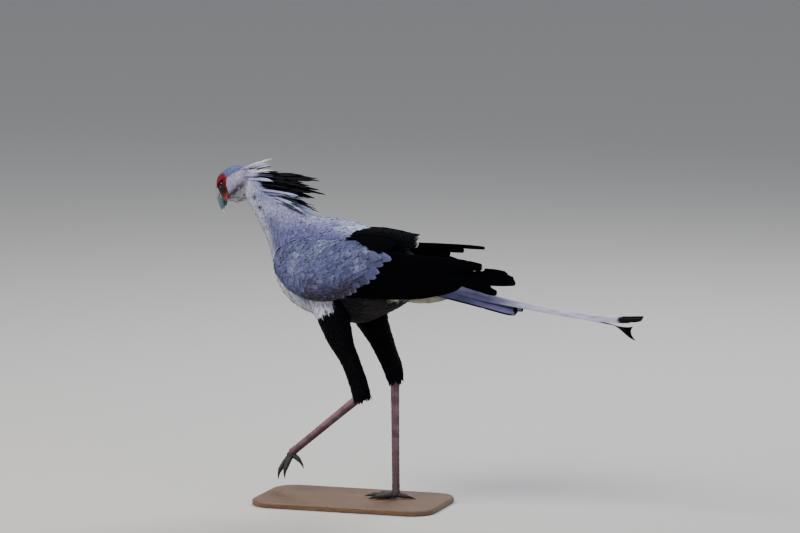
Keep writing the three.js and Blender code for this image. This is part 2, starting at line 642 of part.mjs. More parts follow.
// A crest feather: how far it is sunk behind its root, its arch, its roll, and where it widens and narrows
const PLUME = { quill: 24, arch: 14, roll: 48, vary: 14, stalk: 0.3, full: 0.5, tapers: 0.7, tip: 0.22 };
const plumes = (rows) => rows.map(([x, y, z, tipX, tipY, tipZ, width], i) => {
  const root = V(x, y, z);
  const along = V(tipX, tipY, tipZ).sub(root);
  const length = along.length() + PLUME.quill;
  along.normalize();
  const level = V(0, 1, 0).addScaledVector(along, -along.y).normalize();
  const up = along.clone().cross(level);
  if (up.z < 0) up.negate();
  const roll = degToRad(((i % 3) - 1) * PLUME.vary + (y > 0 ? -PLUME.roll : PLUME.roll));
  const across = level.multiplyScalar(Math.cos(roll)).addScaledVector(up, Math.sin(roll));
  const face = across.clone().cross(along);
  return vane((s) => {
    const at = root.clone().addScaledVector(along, length * s - PLUME.quill);
    at.z += PLUME.arch * s * (1 - s);
    const widens = lerp(PLUME.stalk, 1, Math.min(1, s / PLUME.full));
    const narrows = lerp(1, PLUME.tip, Math.max(0, (s - PLUME.tapers) / (1 - PLUME.tapers)));
    return { at, across, face, half: 0.5 * width * Math.min(widens, narrows) };
  }, { steps: 3 });
});

// Display base: a flat board with rounded corners and a small chamfer
function base() {
  const { length, width, thick, centreX, corner, rim } = BASE;
  const [hx, hy] = [length / 2 - rim - corner, width / 2 - rim - corner];
  const outline = new THREE.Shape();
  [[hx, -hy], [hx, hy], [-hx, hy], [-hx, -hy]].forEach(([x, y], i) => {
    outline.absarc(x, y, corner, (i - 1) * Math.PI / 2, i * Math.PI / 2);
  });
  const board = new THREE.ExtrudeGeometry(outline, {
    depth: thick - 2 * rim, bevelThickness: rim, bevelSize: rim, bevelSegments: 1, curveSegments: 5,
  });
  return toSolid(board.translate(centreX, 0, rim - thick));
}

// Assembly: where nodes touch, one is cut clear of the other by the gap
const group = new THREE.Group();
const add = (name, solid, material) => group.add(toMesh(name, solid, material));

const torsoClear = torsoPlain(GAP);
const mantleClear = joined(mantle(GAP));
add('torso', joined([torsoPlain(), ...mantle()]), COLORS.grey);

const slack = GAP / 50; // share of a row that the gap takes in a cut across the neck
const neckTop = BODY.length - 1;
const skullClear = skull(GAP);
const lowerClear = body(NECK.root - 1, NECK.middle + slack, { steps: 7, grow: GAP });
const upperClear = body(NECK.middle, neckTop, { steps: 6, domes: [0, 4], grow: GAP });
const lower = body(NECK.root + slack, NECK.middle, { steps: 4 });
const upper = body(NECK.middle + slack, neckTop, { steps: 5, domes: [0, 4] });
add('neck_lower', lower.add(joined(plumes(HACKLES)).subtract(torsoClear).subtract(upperClear)), COLORS.pale);
add('neck_upper', upper.add(joined(plumes(CREST)).subtract(lowerClear)).subtract(skullClear), COLORS.pale);

const sockets = joined([-1, 1].map((hand) => ball(eyeCentre(hand), EYE.radius + GAP)));
const crown = joined(plumes(CROWN)).subtract(upperClear);
add('head', joined([skull(), lids(-1), lids(1), brow(-1), brow(1), crown]).subtract(sockets), COLORS.pale);
add('eye_left', ball(eyeCentre(-1), EYE.radius), COLORS.eye);
add('eye_right', ball(eyeCentre(1), EYE.radius), COLORS.eye);
add('bill_upper', upperBill().subtract(nostril(-1)).subtract(nostril(1)).subtract(skullClear), COLORS.bill);
add('bill_lower', lowerBill().subtract(upperBill(GAP)).subtract(skullClear), COLORS.bill);

const tailClear = tailCore(GAP);
const floor = toSolid(new THREE.BoxGeometry(500, 500, 40).translate(60, 0, GAP - 20));
for (const [name, leg] of Object.entries(LEGS)) {
  const thighClear = thigh(leg, GAP);
  const footClear = foot(leg, GAP);
  add(`thigh_${name}`, thigh(leg).subtract(torsoClear), COLORS.black);
  add(`shank_${name}`, shank(leg).subtract(thighClear).subtract(footClear), COLORS.shank);
  add(`foot_${name}`, foot(leg).subtract(floor), COLORS.toe);
  for (const digit of Object.keys(leg.toes)) {
    add(`claw_${name}_${digit}`, claw(leg, digit).subtract(footClear).subtract(floor), COLORS.claw);
  }
  const wingClear = joined([torsoClear, mantleClear, thighClear, tailClear]);
  add(`wing_${name}`, wing(WINGS[name]).subtract(wingClear), COLORS.wing);
}
add('tail', tail().subtract(torsoClear), COLORS.pale);
add('stand_base', base(), COLORS.board);

group.position.set(-BASE.centreX, 0, BASE.thick);
export default group;
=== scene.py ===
"""Secretary bird, life size, walking with its near foot lifted, on a flat display base.

Shapes are worked out in millimetres about the base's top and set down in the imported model's frame.
The bird faces -X and its left side, the near one, is towards -Y.
"""
from __future__ import annotations

import logging
from dataclasses import dataclass, field, replace
from enum import Enum
from typing import Callable, Sequence

import bmesh
import bpy
import numpy as np
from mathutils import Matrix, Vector
from numpy.typing import NDArray


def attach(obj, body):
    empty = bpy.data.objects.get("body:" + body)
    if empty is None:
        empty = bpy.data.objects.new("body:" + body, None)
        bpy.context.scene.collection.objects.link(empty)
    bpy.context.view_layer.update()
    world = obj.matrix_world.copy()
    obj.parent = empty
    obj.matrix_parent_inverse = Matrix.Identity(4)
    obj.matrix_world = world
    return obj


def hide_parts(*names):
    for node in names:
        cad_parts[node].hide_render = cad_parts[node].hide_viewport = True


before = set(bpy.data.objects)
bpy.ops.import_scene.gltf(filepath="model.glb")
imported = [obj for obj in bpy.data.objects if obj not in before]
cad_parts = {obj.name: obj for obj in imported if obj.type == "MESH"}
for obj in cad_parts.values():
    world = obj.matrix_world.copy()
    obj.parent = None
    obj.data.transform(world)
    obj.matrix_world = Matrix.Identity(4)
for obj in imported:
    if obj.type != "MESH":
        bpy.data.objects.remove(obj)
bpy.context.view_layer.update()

log = logging.getLogger("secretary_bird")
Array = NDArray[np.float64]
Tree, Node, Socket = bpy.types.NodeTree, bpy.types.Node, bpy.types.NodeSocket
Rng = np.random.Generator

MM = 0.001
SETTING = np.array([20.0, 0.0, 15.0])  # the base's top centre seen from its underside centre, mm
SEED = 7
BAKE_PATCH = 0.003  # width of a feather's own patch on the bake map
LEFT, RIGHT = -1, 1
UP = np.array([0.0, 0.0, 1.0])
SIDE = np.array([0.0, 1.0, 0.0])


# Numbers


def linear(code: str) -> Array:
    """Turns an sRGB hex colour to linear light.

    Args:
        code: the colour as '#rrggbb'.

    Returns:
        Three linear values from 0 to 1.
    """
    value = np.array([int(code[i : i + 2], 16) for i in (1, 3, 5)]) / 255
    return np.where(value <= 0.04045, value / 12.92, ((value + 0.055) / 1.055) ** 2.4)


def mix(a: Array, b: Array, share: Array) -> Array:
    """Blends colours or points: a where share is 0 and b where it is 1."""
    share = np.clip(np.asarray(share, float), 0, 1)[..., None]
    return np.asarray(a) * (1 - share) + np.asarray(b) * share


def ease(value: Array, low: float, high: float) -> Array:
    """Smooth step: 0 below low, 1 above high and 3t^2 - 2t^3 between."""
    t = np.clip((np.asarray(value, float) - low) / (high - low), 0, 1)
    return t * t * (3 - 2 * t)


def lerp(a: float, b: float, t: Array) -> Array:
    """Straight blend from a to b."""
    return a + (b - a) * t


def unit(v: Array) -> Array:
    """Vectors along the last axis brought to length one."""
    return v / np.maximum(np.linalg.norm(v, axis=-1, keepdims=True), 1e-9)


def blend(rows: Sequence[Sequence[float]], t: Array) -> Array:
    """Catmull-Rom curve through rows of numbers, straight on beyond both ends.

    Args:
        rows: one row of numbers for each whole value of t.
        t: places along the rows.

    Returns:
        An array of t's shape with one more axis, for the row's numbers.
    """
    table = np.asarray(rows, float)
    last = len(table) - 1
    t = np.asarray(t, float)
    inside = np.clip(t, 0, last)
    i = np.clip(np.floor(inside).astype(int), 0, last - 1)
    f = (inside - i)[..., None]
    p, q, r, s = (table[np.clip(i + k, 0, last)] for k in (-1, 0, 1, 2))
    curve = q + 0.5 * f * (r - p + f * (2 * p - 5 * q + 4 * r - s + f * (3 * (q - r) + s - p)))
    slope = np.where(t[..., None] < 0, table[1] - table[0], table[last] - table[last - 1])
    return curve + (t - inside)[..., None] * slope


def table_at(rows: Sequence[Sequence[float]], x: Array) -> Array:
    """Straight-line table of [x, value] rows, read at x."""
    table = np.asarray(rows, float)
    return np.interp(x, table[:, 0], table[:, 1])


def bezier(a: Sequence[float], b: Sequence[float], c: Sequence[float], t: Array) -> Array:
    """Quadratic curve from a to c, pulled towards b."""
    t = np.asarray(t, float)[..., None]
    return (1 - t) ** 2 * np.asarray(a) + 2 * t * (1 - t) * np.asarray(b) + t * t * np.asarray(c)


def speckle(points: Array, grain: float, seed: int = 0) -> Array:
    """Soft random field of space: a sum of sine waves in fixed random directions.

    Args:
        points: places, mm.
        grain: size of its blotches, mm.
        seed: picks another field.

    Returns:
        Values of about -1 to 1.
    """
    rng = np.random.default_rng(seed + 100)
    total = np.zeros(points.shape[:-1])
    for _ in range(9):
        wave = unit(rng.normal(size=3)) * 2 * np.pi / (grain * rng.uniform(1.2, 3.2))
        total += np.sin(points @ wave + rng.uniform(0, 6.3))
    return total / 4.5


# Meshes


@dataclass
class Grids:
    """Alike grids of points that go into one mesh, with a colour and two maps at each point."""

    points: Array  # (feathers, rows, columns, 3), mm
    tint: Array  # linear colour, broadcast to the points
    barb: Array | None = None  # across and along the feather, mm, for the barb pattern
    bake: Array | None = None  # place on the bake map
    closed: bool = False  # columns join round

    def quads(self) -> NDArray[np.int64]:
        """Corner numbers of the four-sided faces between neighbouring rows and columns."""
        n, rows, cols = self.points.shape[:3]
        i, j = np.meshgrid(np.arange(rows - 1), np.arange(cols if self.closed else cols - 1), indexing="ij")
        k = (j + 1) % cols
        near, far = i * cols, (i + 1) * cols
        one = np.stack([near + j, near + k, far + k, far + j], -1).reshape(-1, 4)
        return (one[None] + (np.arange(n) * rows * cols)[:, None, None]).reshape(-1, 4)


def add_object(name: str, data: bpy.types.ID) -> bpy.types.Object:
    """Puts a mesh, lamp or camera into the scene."""
    made = bpy.data.objects.new(name, data)
    bpy.context.scene.collection.objects.link(made)
    return made


def make_piece(
    name: str, grids: Sequence[Grids], finish: Finish, nodes: Sequence[str] = (),
    thick: float = 0.0,
) -> bpy.types.Object:
    """Puts grids into one mesh object that rides on the body, welded where every grid is closed.

    Args:
        name: the piece's name.
        grids: what the mesh is made of.
        finish: its material.
        nodes: CAD nodes that the piece stands for.
        thick: thickness that a sheet is given, mm.

    Returns:
        The finished object.
    """
    points, tints, barbs, bakes, faces, start = [], [], [], [], [], 0
    for grid in grids:
        shape = grid.points.shape
        points.append(grid.points.reshape(-1, 3))
        tints.append(np.broadcast_to(grid.tint, shape).reshape(-1, 3))
        for maps, values in ((barbs, grid.barb), (bakes, grid.bake)):
            values = np.zeros(2) if values is None else values
            maps.append(np.broadcast_to(values, (*shape[:3], 2)).reshape(-1, 2))
        faces.append(grid.quads() + start)
        start += len(points[-1])
    place = (np.concatenate(points) + SETTING) * MM
    corners = np.concatenate(faces)
    mesh = bpy.data.meshes.new(name)
    mesh.vertices.add(len(place))
    mesh.vertices.foreach_set("co", place.astype(np.float32).ravel())
    mesh.loops.add(corners.size)
    mesh.loops.foreach_set("vertex_index", corners.astype(np.int32).ravel())
    mesh.polygons.add(len(corners))
    mesh.polygons.foreach_set("loop_start", np.arange(0, corners.size, 4, dtype=np.int32))
    mesh.update(calc_edges=True)
    tint = np.ones((len(place), 4), np.float32)
    tint[:, :3] = np.clip(np.concatenate(tints), 0, 1)
    mesh.attributes.new("Tint", "FLOAT_COLOR", "POINT").data.foreach_set("color", tint.ravel())
    if any(grid.bake is not None for grid in grids):
        for layer, values in (("OFBake", bakes), ("Barb", barbs)):
            uv = np.concatenate(values)[corners.ravel()].astype(np.float32)
            mesh.uv_layers.new(name=layer).data.foreach_set("uv", uv.ravel())
    if all(grid.closed for grid in grids):
        form = bmesh.new()
        form.from_mesh(mesh)
        bmesh.ops.remove_doubles(form, verts=form.verts, dist=1e-5)
        bmesh.ops.dissolve_degenerate(form, edges=form.edges, dist=1e-6)
        bmesh.ops.recalc_face_normals(form, faces=form.faces)
        form.to_mesh(mesh)
        form.free()
    mesh.validate()
    mesh.shade_smooth()
    mesh.materials.append(finish.build())
    piece = add_object(name, mesh)
    if thick:
        wall = piece.modifiers.new("Wall", "SOLIDIFY")
        wall.thickness, wall.offset = thick * MM, 0.0
    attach(piece, "root")
    if nodes:
        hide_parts(*nodes)
    log.info("%s: %d faces", name, len(mesh.polygons))
    return piece


# Surfaces


class Surface:
    """A smooth surface that feathers grow on, at(u, v) giving its points in mm."""

    reach_u = (0.0, 1.0)  # where feathers may be laid

    def at(self, u: Array, v: Array) -> Array:
        """Points of the surface."""
        raise NotImplementedError

    def outward(self, u: Array, v: Array) -> Array:
        """Rough directions away from the flesh."""
        raise NotImplementedError

    def chart(self, u: Array, v: Array) -> Array:
        """Place on the skin's unwrap, both numbers from 0 to 1."""
        low, high = self.reach_u
        return np.stack([(u - low) / (high - low) * 0.98 + 0.01, (v / 360) % 1 * 0.98 + 0.01], -1)

    def frame(self, u: Array, v: Array) -> tuple[Array, Array, Array, Array]:
        """Point, its two tangents by central differences, and the unit normal facing out."""
        du, dv = 0.01, 0.5
        point = self.at(u, v)
        along_u = (self.at(u + du, v) - self.at(u - du, v)) / (2 * du)
        along_v = (self.at(u, v + dv) - self.at(u, v - dv)) / (2 * dv)
        normal = unit(np.cross(along_u, along_v))
        facing = np.sign(np.sum(normal * self.outward(u, v), -1, keepdims=True))
        return point, along_u, along_v, normal * np.where(facing == 0, 1, facing)


def same(p: Array) -> Array:
    """Leaves points where they are."""
    return p


@dataclass
class Profile(Surface):
    """A rounded form whose outline in side view is given.

    Rows are x and z of one edge, x and z of the other, y of the middle and the half width. At angle v the
    point is centre + cos v * width * Y + sin v * half the chord between the edges, both taken in by `inset`.
    """

    rows: Sequence[Sequence[float]]
    inset: float = 0.0
    warp: Callable[[Array], Array] = same

    def __post_init__(self) -> None:
        """Feathers may be laid from the first row to the last."""
        self.reach_u = (0.0, float(len(self.rows) - 1))

    def ellipse(self, u: Array) -> tuple[Array, Array, Array]:
        """Centre, half chord and half width of the cross-sections at u."""
        x0, z0, x1, z1, y, wide = np.moveaxis(blend(self.rows, u), -1, 0)
        centre = np.stack([(x0 + x1) / 2, y, (z0 + z1) / 2], -1)
        half = np.stack([(x1 - x0) / 2, 0 * x0, (z1 - z0) / 2], -1)
        length = np.linalg.norm(half, axis=-1, keepdims=True)
        half = half / np.maximum(length, 1e-6) * np.maximum(length - self.inset, 0.5)
        return centre, half, np.maximum(wide - self.inset, 0.5)[..., None]

    def at(self, u: Array, v: Array) -> Array:
        """Points of the surface, u along the rows and v degrees round."""
        u, v = np.broadcast_arrays(np.asarray(u, float), np.asarray(v, float))
        centre, half, wide = self.ellipse(u)
        angle = np.radians(v)[..., None]
        return self.warp(centre + np.cos(angle) * wide * SIDE + np.sin(angle) * half)

    def outward(self, u: Array, v: Array) -> Array:
        """From the middle of the cross-section to the surface."""
        u, v = np.broadcast_arrays(np.asarray(u, float), np.asarray(v, float))
        return self.at(u, v) - self.warp(self.ellipse(u)[0])

    def skin(self, steps: int, sides: int, domes: tuple[float, float] = (0.0, 0.0)) -> Array:
        """Closed grid over the whole form, its ends drawn in to domes of those heights."""
        last = len(self.rows) - 1
        u, v = np.linspace(0, last, steps + 1)[:, None], np.linspace(0, 360, sides, endpoint=False)[None]
        rings = self.at(u, v)
        centres = self.warp(self.ellipse(np.broadcast_to(u, rings.shape[:2]))[0])
        caps = []
        for end, dome in ((0, domes[0]), (-1, domes[1])):
            heading = unit(centres[end] - centres[1 if end == 0 else -2])
            swell = np.linspace(0, np.pi / 2, 6)[1:, None, None]
            cap = centres[end] + (rings[end] - centres[end]) * np.cos(swell) + heading * np.sin(swell) * dome
            caps.append(cap[::-1] if end == 0 else cap)
        return np.concatenate([caps[0], rings, caps[1]])[None]


@dataclass
class Tube(Profile):
    """A rounded form along rows of x, y, z, height and width, the width measured along `across`."""

    across: Sequence[float] = (0.0, 1.0, 0.0)

    def axes(self, u: Array) -> tuple[Array, Array, Array, Array]:
        """Centre, sideways and upward unit directions, and the row's numbers."""
        row = blend(self.rows, u)
        along = unit(blend(self.rows, u + 0.02)[..., :3] - blend(self.rows, u - 0.02)[..., :3])
        side = np.asarray(self.across, float)
        side = unit(side - along * (along @ side)[..., None])
        return row[..., :3], side, np.cross(side, along), row

    def ellipse(self, u: Array) -> tuple[Array, Array, Array]:
        """Centre of the cross-sections at u; the other two aren't used."""
        centre = self.axes(u)[0]
        return centre, centre, centre

    def at(self, u: Array, v: Array) -> Array:
        """centre + cos v * width * side + sin v * height * up."""
        u, v = np.broadcast_arrays(np.asarray(u, float), np.asarray(v, float))
        centre, side, up, row = self.axes(u)
        angle = np.radians(v)[..., None]
        tall = np.maximum(row[..., 3:4] - self.inset, 0.3)
        wide = np.maximum(row[..., 4:5] - self.inset, 0.3)
        return self.warp(centre + np.cos(angle) * wide * side + np.sin(angle) * tall * up)


def scatter(
    surface: Surface, gap: Callable[[Array], Array], rng: Rng, span_u: tuple[float, float] | None,
    span_v: tuple[float, float],
) -> tuple[Array, Array]:
    """Roots in staggered rings, a gap apart along the surface and round it, each shifted a little.

    Args:
        surface: where they grow.
        gap: the distance between roots at u, mm.
        rng: source of the shifts.
        span_u: part of the surface's length.
        span_v: part of the way round, degrees.

    Returns:
        Arrays of u and of v.
    """
    low, high = span_u or surface.reach_u
    u = np.linspace(low, high, 400)
    v = np.linspace(*span_v, 73)
    middle = surface.at(u[:, None], np.linspace(*span_v, 9)[None]).mean(1)
    steps = np.linalg.norm(np.diff(middle, axis=0), axis=1) / gap((u[1:] + u[:-1]) / 2)
    count = np.concatenate([[0], np.cumsum(steps)])
    rings = np.interp(np.arange(0.5, count[-1]), count, u)
    all_u, all_v = [], []
    for ring in rings:
        line = surface.at(np.full(v.shape, ring), v)
        run = np.concatenate([[0], np.cumsum(np.linalg.norm(np.diff(line, axis=0), axis=1))])
        n = max(3, int(round(run[-1] / float(gap(np.array(ring))))))
        places = (np.arange(n) + rng.uniform(0, 1) + rng.uniform(-0.3, 0.3, n)) / n * run[-1] % run[-1]
        all_v.append(np.interp(places, run, v))
        step = (high - low) / len(rings)
        all_u.append(np.clip(ring + rng.uniform(-0.35, 0.35, n) * step, low, high))
    return np.concatenate(all_u), np.concatenate(all_v)


def face_out(points: Array, normal: Array, *maps: Array) -> tuple[Array, ...]:
    """Turns feather grids over where their faces look inwards.

    Args:
        points: grids of points.
        normal: directions that should be outwards, at the same points.
        maps: what else is laid out on the same grids.

    Returns:
        The points and the maps, with the columns reversed where needed.
    """
    down = points[:, 1:2, 0] - points[:, 0:1, 0]
    over = points[:, 0:1, -1] - points[:, 0:1, 0]
    turned = np.sum(np.cross(over, down) * normal[:, 0:1, 0], -1) < 0
    pick = turned[:, :, None, None]
    return tuple(np.where(pick, item[:, :, ::-1], item) for item in (points, *maps))


@dataclass(frozen=True)
class Vane:
    """Shape of a small feather: its grid, how its outline rounds off and how it sits on the skin."""

    rows: int = 5
    cols: int = 2
    broad: float = 0.5  # where along it is widest
    point: float = 0.2  # share of its width left at the tip
    pull: float = 0.1  # how far its edges lag behind its middle, share of its length
    camber: float = 0.14  # how far its edges fall, share of its half width
    fray: float = 0.03  # how ragged its end is, share of its length

    def shares(self) -> Array:
        """Shares of the length at which it has its rows, closer towards the tip."""
        return 1 - (1 - np.linspace(0, 1, self.rows + 1)) ** 1.5


def lay_feathers(
    surface: Surface, u: Array, v: Array, length: Array, width: Array, lift: Array, turn: Array, rng: Rng,
    vane: Vane, sink: float, lie: int,
) -> tuple[Array, ...]:
    """Lays feathers on a surface so that each follows it.

    A point at share s of the length and c across lies at the root plus s * length along the lie and c * half
    width across it, measured on the surface, less pull * length * c^2 * s^3. It stands off the surface by
    -sink + (lift + sink) * sqrt(s) - camber * half width * c^2.

    Args:
        surface: what they lie on.
        u: roots along the surface.
        v: roots round it.
        length: feather lengths, mm.
        width: feather widths, mm.
        lift: how far the tips stand off, mm.
        turn: how far each turns from the u direction, degrees.
        rng: source of the frays.
        vane: their shape.
        sink: how far the roots are sunk, mm.
        lie: 1 where they point to larger u, -1 to smaller.

    Returns:
        Grids of points, of places on each feather in mm, and of bake map places.
    """
    s = vane.shares()[None, :, None]
    c = np.linspace(-1, 1, vane.cols + 1)[None, None, :]
    length, width, lift, angle = (a[:, None, None] for a in (length, width, lift, np.radians(turn)))
    _, *tangents, _ = surface.frame(u, v)
    stretch_u, stretch_v = (np.linalg.norm(a, axis=-1)[:, None, None] for a in tangents)
    past = np.maximum(0, (s - vane.broad) / (1 - vane.broad))
    rounding = np.sqrt(1 - (1 - vane.point**2) * past**2)
    half = width / 2 * np.where(s < vane.broad, lerp(0.5, 1, ease(s, 0, vane.broad)), rounding)
    torn = rng.uniform(-1, 1, (len(u), 1, vane.cols + 1)) * vane.fray * ease(s, 0.6, 1)
    forward = length * (s - vane.pull * c * c * s**3 + torn)
    aside = c * half + length * rng.uniform(-0.06, 0.06, (len(u), 1, 1)) * s * s
    uu = u[:, None, None] + lie * (forward * np.cos(angle) - aside * np.sin(angle)) / stretch_u
    vv = v[:, None, None] + (forward * np.sin(angle) + aside * np.cos(angle)) / stretch_v
    point, _, _, normal = surface.frame(uu, vv)
    height = -sink + (lift + sink) * np.sqrt(s) - vane.camber * half * c * c
    barb = np.stack(np.broadcast_arrays(c * half, length * s), -1)
    patch = np.stack(np.broadcast_arrays(c / 2, s - 0.5), -1) * BAKE_PATCH
    bake = surface.chart(u, v)[:, None, None, :] + patch
    return face_out(point + normal * height[..., None], normal, barb, bake)


# Finishes

MIX_SOCKETS = (0, 6, 7)  # share and both colours of a colour Mix node


def feed(node: Node, inputs: dict) -> None:
    """Gives a node's inputs their values, or links them to the outputs that feed them."""
    for key, value in inputs.items():
        if isinstance(value, Socket):
            node.id_data.links.new(value, node.inputs[key])
        else:
            node.inputs[key].default_value = value


def add_node(tree: Tree, kind: str, inputs: dict | None = None, **settings: object) -> Node:
    """Adds a shader node of that kind with its settings and inputs."""
    made = tree.nodes.new(f"ShaderNode{kind}")
    for key, value in settings.items():
        setattr(made, key, value)
    feed(made, inputs or {})
    return made


def add_math(tree: Tree, operation: str, *values: object) -> Socket:
    """Output of a Math node on those values or outputs."""
    return add_node(tree, "Math", dict(enumerate(values)), operation=operation).outputs[0]


def add_mix(tree: Tree, share: object, a: object, b: object, way: str = "MIX") -> Socket:
    """Colour output of a Mix node, with a where share is 0 and b where it is 1."""
    inputs = dict(zip(MIX_SOCKETS, (share, a, b)))
    return add_node(tree, "Mix", inputs, data_type="RGBA", blend_type=way).outputs[2]


def rgba(code: str) -> tuple[float, float, float, float]:
    """Linear colour with alpha one, for a socket."""
    return (*linear(code).tolist(), 1.0)


def add_tint(tree: Tree) -> Socket:
    """The colour that every point of a piece carries."""
    return add_node(tree, "Attribute", attribute_name="Tint").outputs["Color"]


def add_worn_tint(tree: Tree, share: object, dark: str) -> Socket:
    """The tint where share is 1, and the tint times a darker shade where it is 0."""
    tint = add_tint(tree)
    return add_mix(tree, share, add_mix(tree, 1.0, tint, rgba(dark), "MULTIPLY"), tint)


def add_bump(tree: Tree, height: object, depth_mm: float) -> Socket:
    """Normal output of a Bump node whose full height is depth_mm."""
    inputs = {"Strength": 1.0, "Distance": depth_mm * MM, "Height": height}
    return add_node(tree, "Bump", inputs).outputs["Normal"]


def add_noise(tree: Tree, place: object, grain_mm: float, detail: float = 3.0) -> Socket:
    """Noise whose blotches are about grain_mm across, from 0 to 1."""
    inputs = {"Vector": place, "Scale": 1 / (grain_mm * MM), "Detail": detail, "Roughness": 0.6}
    return add_node(tree, "TexNoise", inputs).outputs[0]


class Finish:
    """A procedural material. Subclasses paint it onto a Principled shader."""

    name = "finish"

    def paint(self, tree: Tree, shader: Node, place: Socket) -> None:
        """Feeds the pattern to the shader; place is the Object coordinates in metres."""
        raise NotImplementedError

    def build(self) -> bpy.types.Material:
        """Makes the material, or gives back the one already made."""
        made = bpy.data.materials.get(self.name)
        if made:
            return made
        made = bpy.data.materials.new(self.name)
        made.use_nodes = True
        tree = made.node_tree
        self.paint(tree, tree.nodes["Principled BSDF"], add_node(tree, "TexCoord").outputs["Object"])
        return made

@dataclass(frozen=True)
class Plumage(Finish):
    """Feather keratin: dull, softly sheened, with barbs that run out from the shaft at a slant.

    Real barbs are about 0.4 mm apart, too fine to show here, so they are drawn wider.
    """

    name: str
    barb_mm: float = 1.6  # spacing at which the barbs are drawn
    streak: float = 0.12  # how far barbs darken the colour
    shaft_mm: float = 0.35  # half width of the drawn shaft
    shaft: str = "#70717c"
    shaft_share: float = 0.18
    rough: float = 0.72
    sheen: float = 0.04
    relief_mm: float = 0.25
    mottle: float = 0.16
    mottle_mm: float = 9.0
    gloss: float = 0.1

    def paint(self, tree: Tree, shader: Node, place: Socket) -> None:
        """Tint times barb streaks and mottling, with a fine shaft line and barbs in relief."""
        barb = add_node(tree, "UVMap", uv_map="Barb").outputs["UV"]
        split = add_node(tree, "SeparateXYZ", {0: barb}).outputs
        across = add_math(tree, "ABSOLUTE", split[0])
        slant = add_math(tree, "SUBTRACT", split[1], add_math(tree, "MULTIPLY", across, 0.9))
        wobble = add_math(tree, "MULTIPLY", add_noise(tree, place, 6.0), 2.5)
        phase = add_math(tree, "MULTIPLY", add_math(tree, "ADD", slant, wobble), 2 * np.pi / self.barb_mm)
        wave = add_math(tree, "MULTIPLY_ADD", add_math(tree, "SINE", phase), 0.5, 0.5)
        streaked = add_math(tree, "MULTIPLY_ADD", wave, self.streak, 1 - self.streak - self.mottle)
        blotch = add_math(tree, "MULTIPLY", add_noise(tree, place, self.mottle_mm), 2 * self.mottle)
        shade = add_math(tree, "ADD", streaked, blotch)
        grey = add_node(tree, "CombineColor", dict.fromkeys(range(3), shade)).outputs[0]
        line = add_node(tree, "MapRange", {
            "Value": across, "From Min": self.shaft_mm, "From Max": self.shaft_mm * 2,
            "To Min": self.shaft_share, "To Max": 0.0,
        }).outputs[0]
        coloured = add_mix(tree, 1.0, add_tint(tree), grey, "MULTIPLY")
        feed(shader, {
            "Base Color": add_mix(tree, line, coloured, rgba(self.shaft)),
            "Normal": add_bump(tree, wave, self.relief_mm), "Roughness": self.rough,
            "Sheen Weight": self.sheen, "Sheen Roughness": 0.5, "Specular IOR Level": self.gloss,
        })


@dataclass(frozen=True)
class BareSkin(Finish):
    """Bare facial skin: thin, slightly moist and finely wrinkled over soft flesh."""

    name: str = "face_skin"
    rough: float = 0.45
    wrinkle_mm: float = 1.6

    def paint(self, tree: Tree, shader: Node, place: Socket) -> None:
        """Tint with small blotches, and wrinkles from stretched cells."""
        cells = add_node(tree, "TexVoronoi", {"Vector": place, "Scale": 1 / (self.wrinkle_mm * MM)})
        feed(shader, {
            "Base Color": add_worn_tint(tree, add_noise(tree, place, 3.0), "#b0b0b0"),
            "Normal": add_bump(tree, cells.outputs["Distance"], 0.3), "Roughness": self.rough,
            "Specular IOR Level": 0.2, "Subsurface Weight": 0.1, "Subsurface Scale": 1.0,
            "Subsurface Radius": (0.002, 0.0008, 0.0006),
        })


@dataclass(frozen=True)
class Horn(Finish):
    """Horn of bill and claws: smooth keratin with faint growth streaks and worn, duller places."""

    name: str
    rough: float = 0.34
    streak_mm: float = 1.2

    def paint(self, tree: Tree, shader: Node, place: Socket) -> None:
        """Tint with soft streaks in colour, relief and roughness."""
        streak = add_noise(tree, place, self.streak_mm, 4.0)
        wear = add_noise(tree, place, self.streak_mm * 6)
        feed(shader, {
            "Base Color": add_worn_tint(tree, streak, "#a8a6a2"), "Normal": add_bump(tree, streak, 0.15),
            "Roughness": add_math(tree, "MULTIPLY_ADD", wear, 0.3, self.rough - 0.1),
            "Coat Weight": 0.15, "Coat Roughness": 0.2,
        })


@dataclass(frozen=True)
class ScaleSkin(Finish):
    """Scaled leg skin: dry horny plates over skin, with small bead-like scales between the plates."""

    name: str
    bead_mm: float = 2.6
    rough: float = 0.55

    def paint(self, tree: Tree, shader: Node, place: Socket) -> None:
        """Tint darkened in the seams of a cell pattern, which also stands in relief, and dusty blotches."""
        inputs = {"Vector": place, "Scale": 1 / (self.bead_mm * MM)}
        cells = add_node(tree, "TexVoronoi", inputs, feature="DISTANCE_TO_EDGE").outputs["Distance"]
        plate = add_node(tree, "MapRange", {"Value": cells, "From Max": 0.16}).outputs[0]
        dust = add_noise(tree, place, 14.0)
        skin = add_worn_tint(tree, plate, "#8f8684")
        feed(shader, {
            "Base Color": add_mix(tree, add_math(tree, "MULTIPLY", dust, 0.14), skin, rgba("#a2938a")),
            "Normal": add_bump(tree, plate, 0.3),
            "Roughness": add_math(tree, "MULTIPLY_ADD", dust, 0.25, self.rough - 0.1),
        })


@dataclass(frozen=True)
class WetEye(Finish):
    """The eye's clear cornea over a brown iris: glassy, with the tint carrying iris and pupil."""

    name: str = "wet_eye"

    def paint(self, tree: Tree, shader: Node, place: Socket) -> None:
        """Tint with fine flecks under a clear coat."""
        feed(shader, {
            "Base Color": add_worn_tint(tree, add_noise(tree, place, 0.7), "#909090"), "Roughness": 0.15,
            "Specular IOR Level": 0.2, "Coat Weight": 0.15, "Coat Roughness": 0.03,
        })


